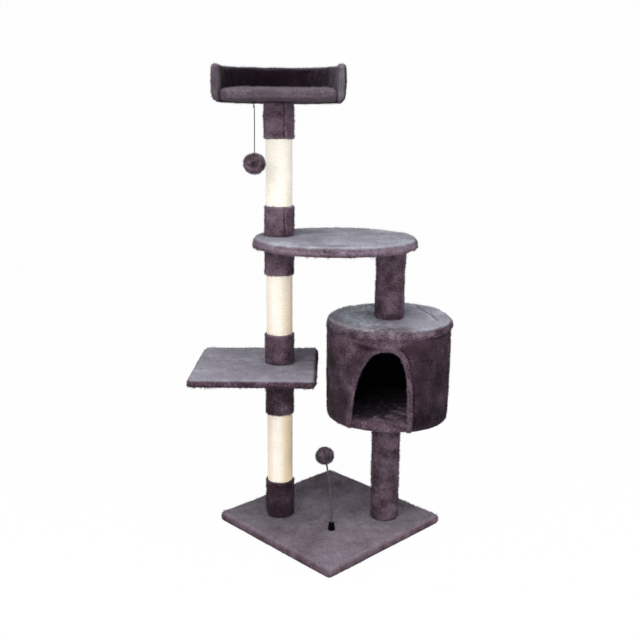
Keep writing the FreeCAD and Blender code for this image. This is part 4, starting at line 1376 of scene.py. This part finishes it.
def pomPiece(name, node, body):
    # a lumpy core, latitude against longitude, with a strand of yarn every millimetre or two
    low, high, centre = spot(node)
    radius = (high[1] - low[1]) / 2
    lat = np.linspace(-math.pi / 2, math.pi / 2, 25)[:, None]
    lon = circle(40)[0][None]
    core = radius * pompom["core"][node]
    grid = np.stack(np.broadcast_arrays(centre[0] + core * np.cos(lat) * np.cos(lon),
                                        centre[1] + core * np.cos(lat) * np.sin(lon),
                                        centre[2] + core * pompom["flat"] * np.sin(lat)), 2)

    def relief(co, out):
        return lumps(co, (14, 1.1), (6, 0.7))

    def tone(co, out):
        if name == "springPompom":
            # paler on its upper side: painted light
            return 0.35 * ease(out[:, 2], -0.4, 0.8) + 0.4 * softNoise(co, 9 * mm, 17)
        parted = ease(out @ np.array(pompom["parting"]), 0.55, 1.0)
        return 0.85 - 1.2 * parted + 0.8 * softNoise(co, 9 * mm, 17)

    piece = makePiece(name, grid, relief, [yarn], tone, 0.0)
    return dress(piece, plushPom, body, "pompom", node)


pomPiece("toyPompom", "toy_ball", "hanging_toy")
pomPiece("springPompom", "spring_ball", "spring_head")

spring = {"mouth": (0.001, -0.085, 0.044), "bend": 11.5, "length": 175 * mm, "half": 87.5 * mm,
          "whole": 163 * mm, "radius": 1.75 * mm, "wire": 0.5 * mm, "pitch": 1.3 * mm}
springLook = {"colour": (0.10, 0.098, 0.10), "wearAndShade": (0.17, 0.165, 0.17), "scale": 220.0,
              "rough": 0.38, "metal": 1.0, "bump": 0.1}


def springLine(along):
    # the coil leans further left the higher it is: its angle grows evenly along its length
    turn = math.radians(spring["bend"]) * along / spring["length"]
    reach = spring["length"] / math.radians(spring["bend"])
    place = np.stack([-reach * (1 - np.cos(turn)), 0 * turn, reach * np.sin(turn)], -1)
    way = np.stack([-np.sin(turn), 0 * turn, np.cos(turn)], -1)
    aside = np.stack([np.cos(turn), 0 * turn, np.sin(turn)], -1)
    return np.array(spring["mouth"]) + place, way, aside


def coilPiece(name, start, stop):
    # wire wound round the bent line from the socket's mouth
    turns = (stop - start) / spring["pitch"]
    turn = np.linspace(0, turns * 2 * math.pi, int(turns * 12))
    place, way, aside = springLine(start + (stop - start) * turn / turn[-1])
    spoke = np.cos(turn)[:, None] * aside + np.sin(turn)[:, None] * np.cross(way, aside)
    line = place + spring["radius"] * spoke
    ring = circle(5)[0][None, :, None]
    tube = line[:, None] + spring["wire"] * (np.cos(ring) * spoke[:, None]
                                             + np.sin(ring) * way[:, None])
    ends = [np.repeat(line[k][None], 5, 0) for k in (0, -1)]
    piece = makePiece(name, closed(tube, *ends))
    first, second = (springLine(np.array([k]))[0][0] for k in (start, stop))
    return piece, tuple(first), tuple(second)


springMaterial = plainMaterial("springWire", springLook)
lowCoil, first, second = coilPiece("springLowCoil", 0.4 * mm, spring["half"])
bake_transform(lowCoil)
highCoil, first, second = coilPiece("springHighCoil", spring["half"], spring["whole"])
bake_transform(highCoil)
for piece, node in ((lowCoil, "spring_lower"), (highCoil, "spring_upper")):
    piece.data.materials.append(springMaterial)
    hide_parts(node)
print("toys done")

# finishes of the parts that keep their own mesh
finishes = {
    "chipboard": {"colour": (0.60, 0.46, 0.30), "wearAndShade": (0.42, 0.30, 0.18), "scale": 240.0,
                  "rough": 0.8, "bump": 0.5},
    "fibreboard": {"colour": (0.40, 0.28, 0.18), "wearAndShade": (0.30, 0.20, 0.12), "scale": 300.0,
                   "rough": 0.75, "bump": 0.3},
    "cardboard": {"colour": (0.52, 0.40, 0.27), "wearAndShade": (0.44, 0.33, 0.22), "scale": 120.0,
                  "rough": 0.9, "bump": 0.3},
    "felt": {"colour": (0.035, 0.032, 0.036), "wearAndShade": (0.06, 0.055, 0.06), "scale": 300.0,
             "rough": 0.97, "bump": 0.7},
    "plug_plastic": {"colour": (0.1, 0.1, 0.1), "wearAndShade": (0.14, 0.14, 0.14), "scale": 80.0,
                     "rough": 0.5, "bump": 0.15},
    "black_plastic": {"colour": (0.001, 0.001, 0.0012), "wearAndShade": (0.004, 0.004, 0.0045),
                      "scale": 120.0, "rough": 0.6, "bump": 0.15, "gloss": 0.03},
    "zinc_steel": {"colour": (0.6, 0.6, 0.58), "wearAndShade": (0.42, 0.42, 0.4), "scale": 150.0,
                   "rough": 0.35, "metal": 1.0, "bump": 0.1},
}
made = {name: plainMaterial(name.replace("_", ""), look) for name, look in finishes.items()}
made["cord"] = cordMaterial
blackened = plainMaterial("blackenedSteel", dict(finishes["zinc_steel"], colour=(0.02, 0.02, 0.02),
                                                 wearAndShade=(0.05, 0.05, 0.05), rough=0.6))
for row in frame["record"]["subparts"]:
    node = frame["nodes"][row["node"]]
    if row["material_slot"] in made:
        node.data.materials.clear()
        finish = made[row["material_slot"]]
        node.data.materials.append(blackened if row["node"] == "cord_staple" else finish)
print("finishes set")

studio = {"floor": (0.84, 0.84, 0.84), "glow": 0.97, "world": 0.60, "aim": (0, 0, 0.6)}
lamps = [  # name, place, size, power, colour
    ("key", (-1.2, -2.4, 2.1), 3.2, 52.0, (1.0, 0.99, 0.97)),
    ("fill", (2.4, -1.8, 1.2), 1.6, 21.0, (0.97, 0.98, 1.0)),
    ("top", (0.1, -0.9, 3.0), 1.8, 36.0, (1.0, 1.0, 1.0)),
]


def plainlySeen(tree):
    # 1 for the camera, and for what metal and glass mirror or let through
    path = tree.nodes.new("ShaderNodeLightPath").outputs
    bounced = sums(tree, "MAXIMUM", path["Is Glossy Ray"], path["Is Transmission Ray"])
    return sums(tree, "MAXIMUM", path["Is Camera Ray"], bounced)


def stageMaterial():
    # pale and matt, and whiter to the camera and in reflections, with the shadow kept
    material, tree, shader = newMaterial("paleFloor")
    feed(tree, shader, {"Base Color": paint(studio["floor"]), "Roughness": 1.0,
                        "Specular IOR Level": 0.0})
    light = addNode(tree, "ShaderNodeEmission", {"Color": (1, 1, 1, 1), "Strength": 1.0})
    mixed = addNode(tree, "ShaderNodeMixShader",
                    {0: times(tree, plainlySeen(tree), studio["glow"]), 1: shader.outputs[0],
                     2: light.outputs[0]})
    feed(tree, tree.nodes["Material Output"], {"Surface": mixed.outputs[0]})
    return material


def addStage():
    # a floor that rises in a soft curve far behind: height over distance along its profile
    along = np.linspace(0, 1, 40)
    bend = np.clip((along - 0.5) * 2, 0, 1)
    y = np.where(along < 0.5, -6 + 20 * along, 4 + 2.5 * np.sin(bend * math.pi / 2))
    z = np.where(along < 0.5, 0.0, 2.5 * (1 - np.cos(bend * math.pi / 2)) + 3 * bend ** 3)
    x = np.linspace(-9, 9, 20)
    grid = np.stack(np.broadcast_arrays(x[:, None], y[None], z[None] - 0.4 * mm), 2)
    corners, faces = joinedGrids([(grid, False, False, (0, 0, 1, 1))])[:2]
    mesh = bpy.data.meshes.new("floor")
    mesh.from_pydata(corners.tolist(), [], faces.tolist())
    mesh.polygons.foreach_set("use_smooth", np.ones(len(mesh.polygons), bool))
    floor = addObject("floor", mesh)
    mesh.materials.append(stageMaterial())


def addLamp(name, place, size, power, colour):
    data = bpy.data.lights.new(name, "AREA")
    data.shape, data.size, data.energy, data.color = "DISK", size, power, colour
    lamp = addObject(name, data)
    lamp.location = place
    aim = Vector(studio["aim"]) - Vector(place)
    lamp.rotation_euler = aim.to_track_quat("-Z", "Y").to_euler()


def lightWorld():
    world = bpy.data.worlds.new("studio")
    world.use_nodes = True
    tree = world.node_tree
    strength = spread(tree, plainlySeen(tree), 0.0, 1.0, studio["world"], 1.0)
    feed(tree, tree.nodes["Background"], {"Color": (1, 1, 1, 1), "Strength": strength})
    bpy.context.scene.world = world


addStage()
for lamp in lamps:
    addLamp(*lamp)
lightWorld()
bpy.context.scene.view_settings.view_transform = "Standard"
print("stage and light ready")
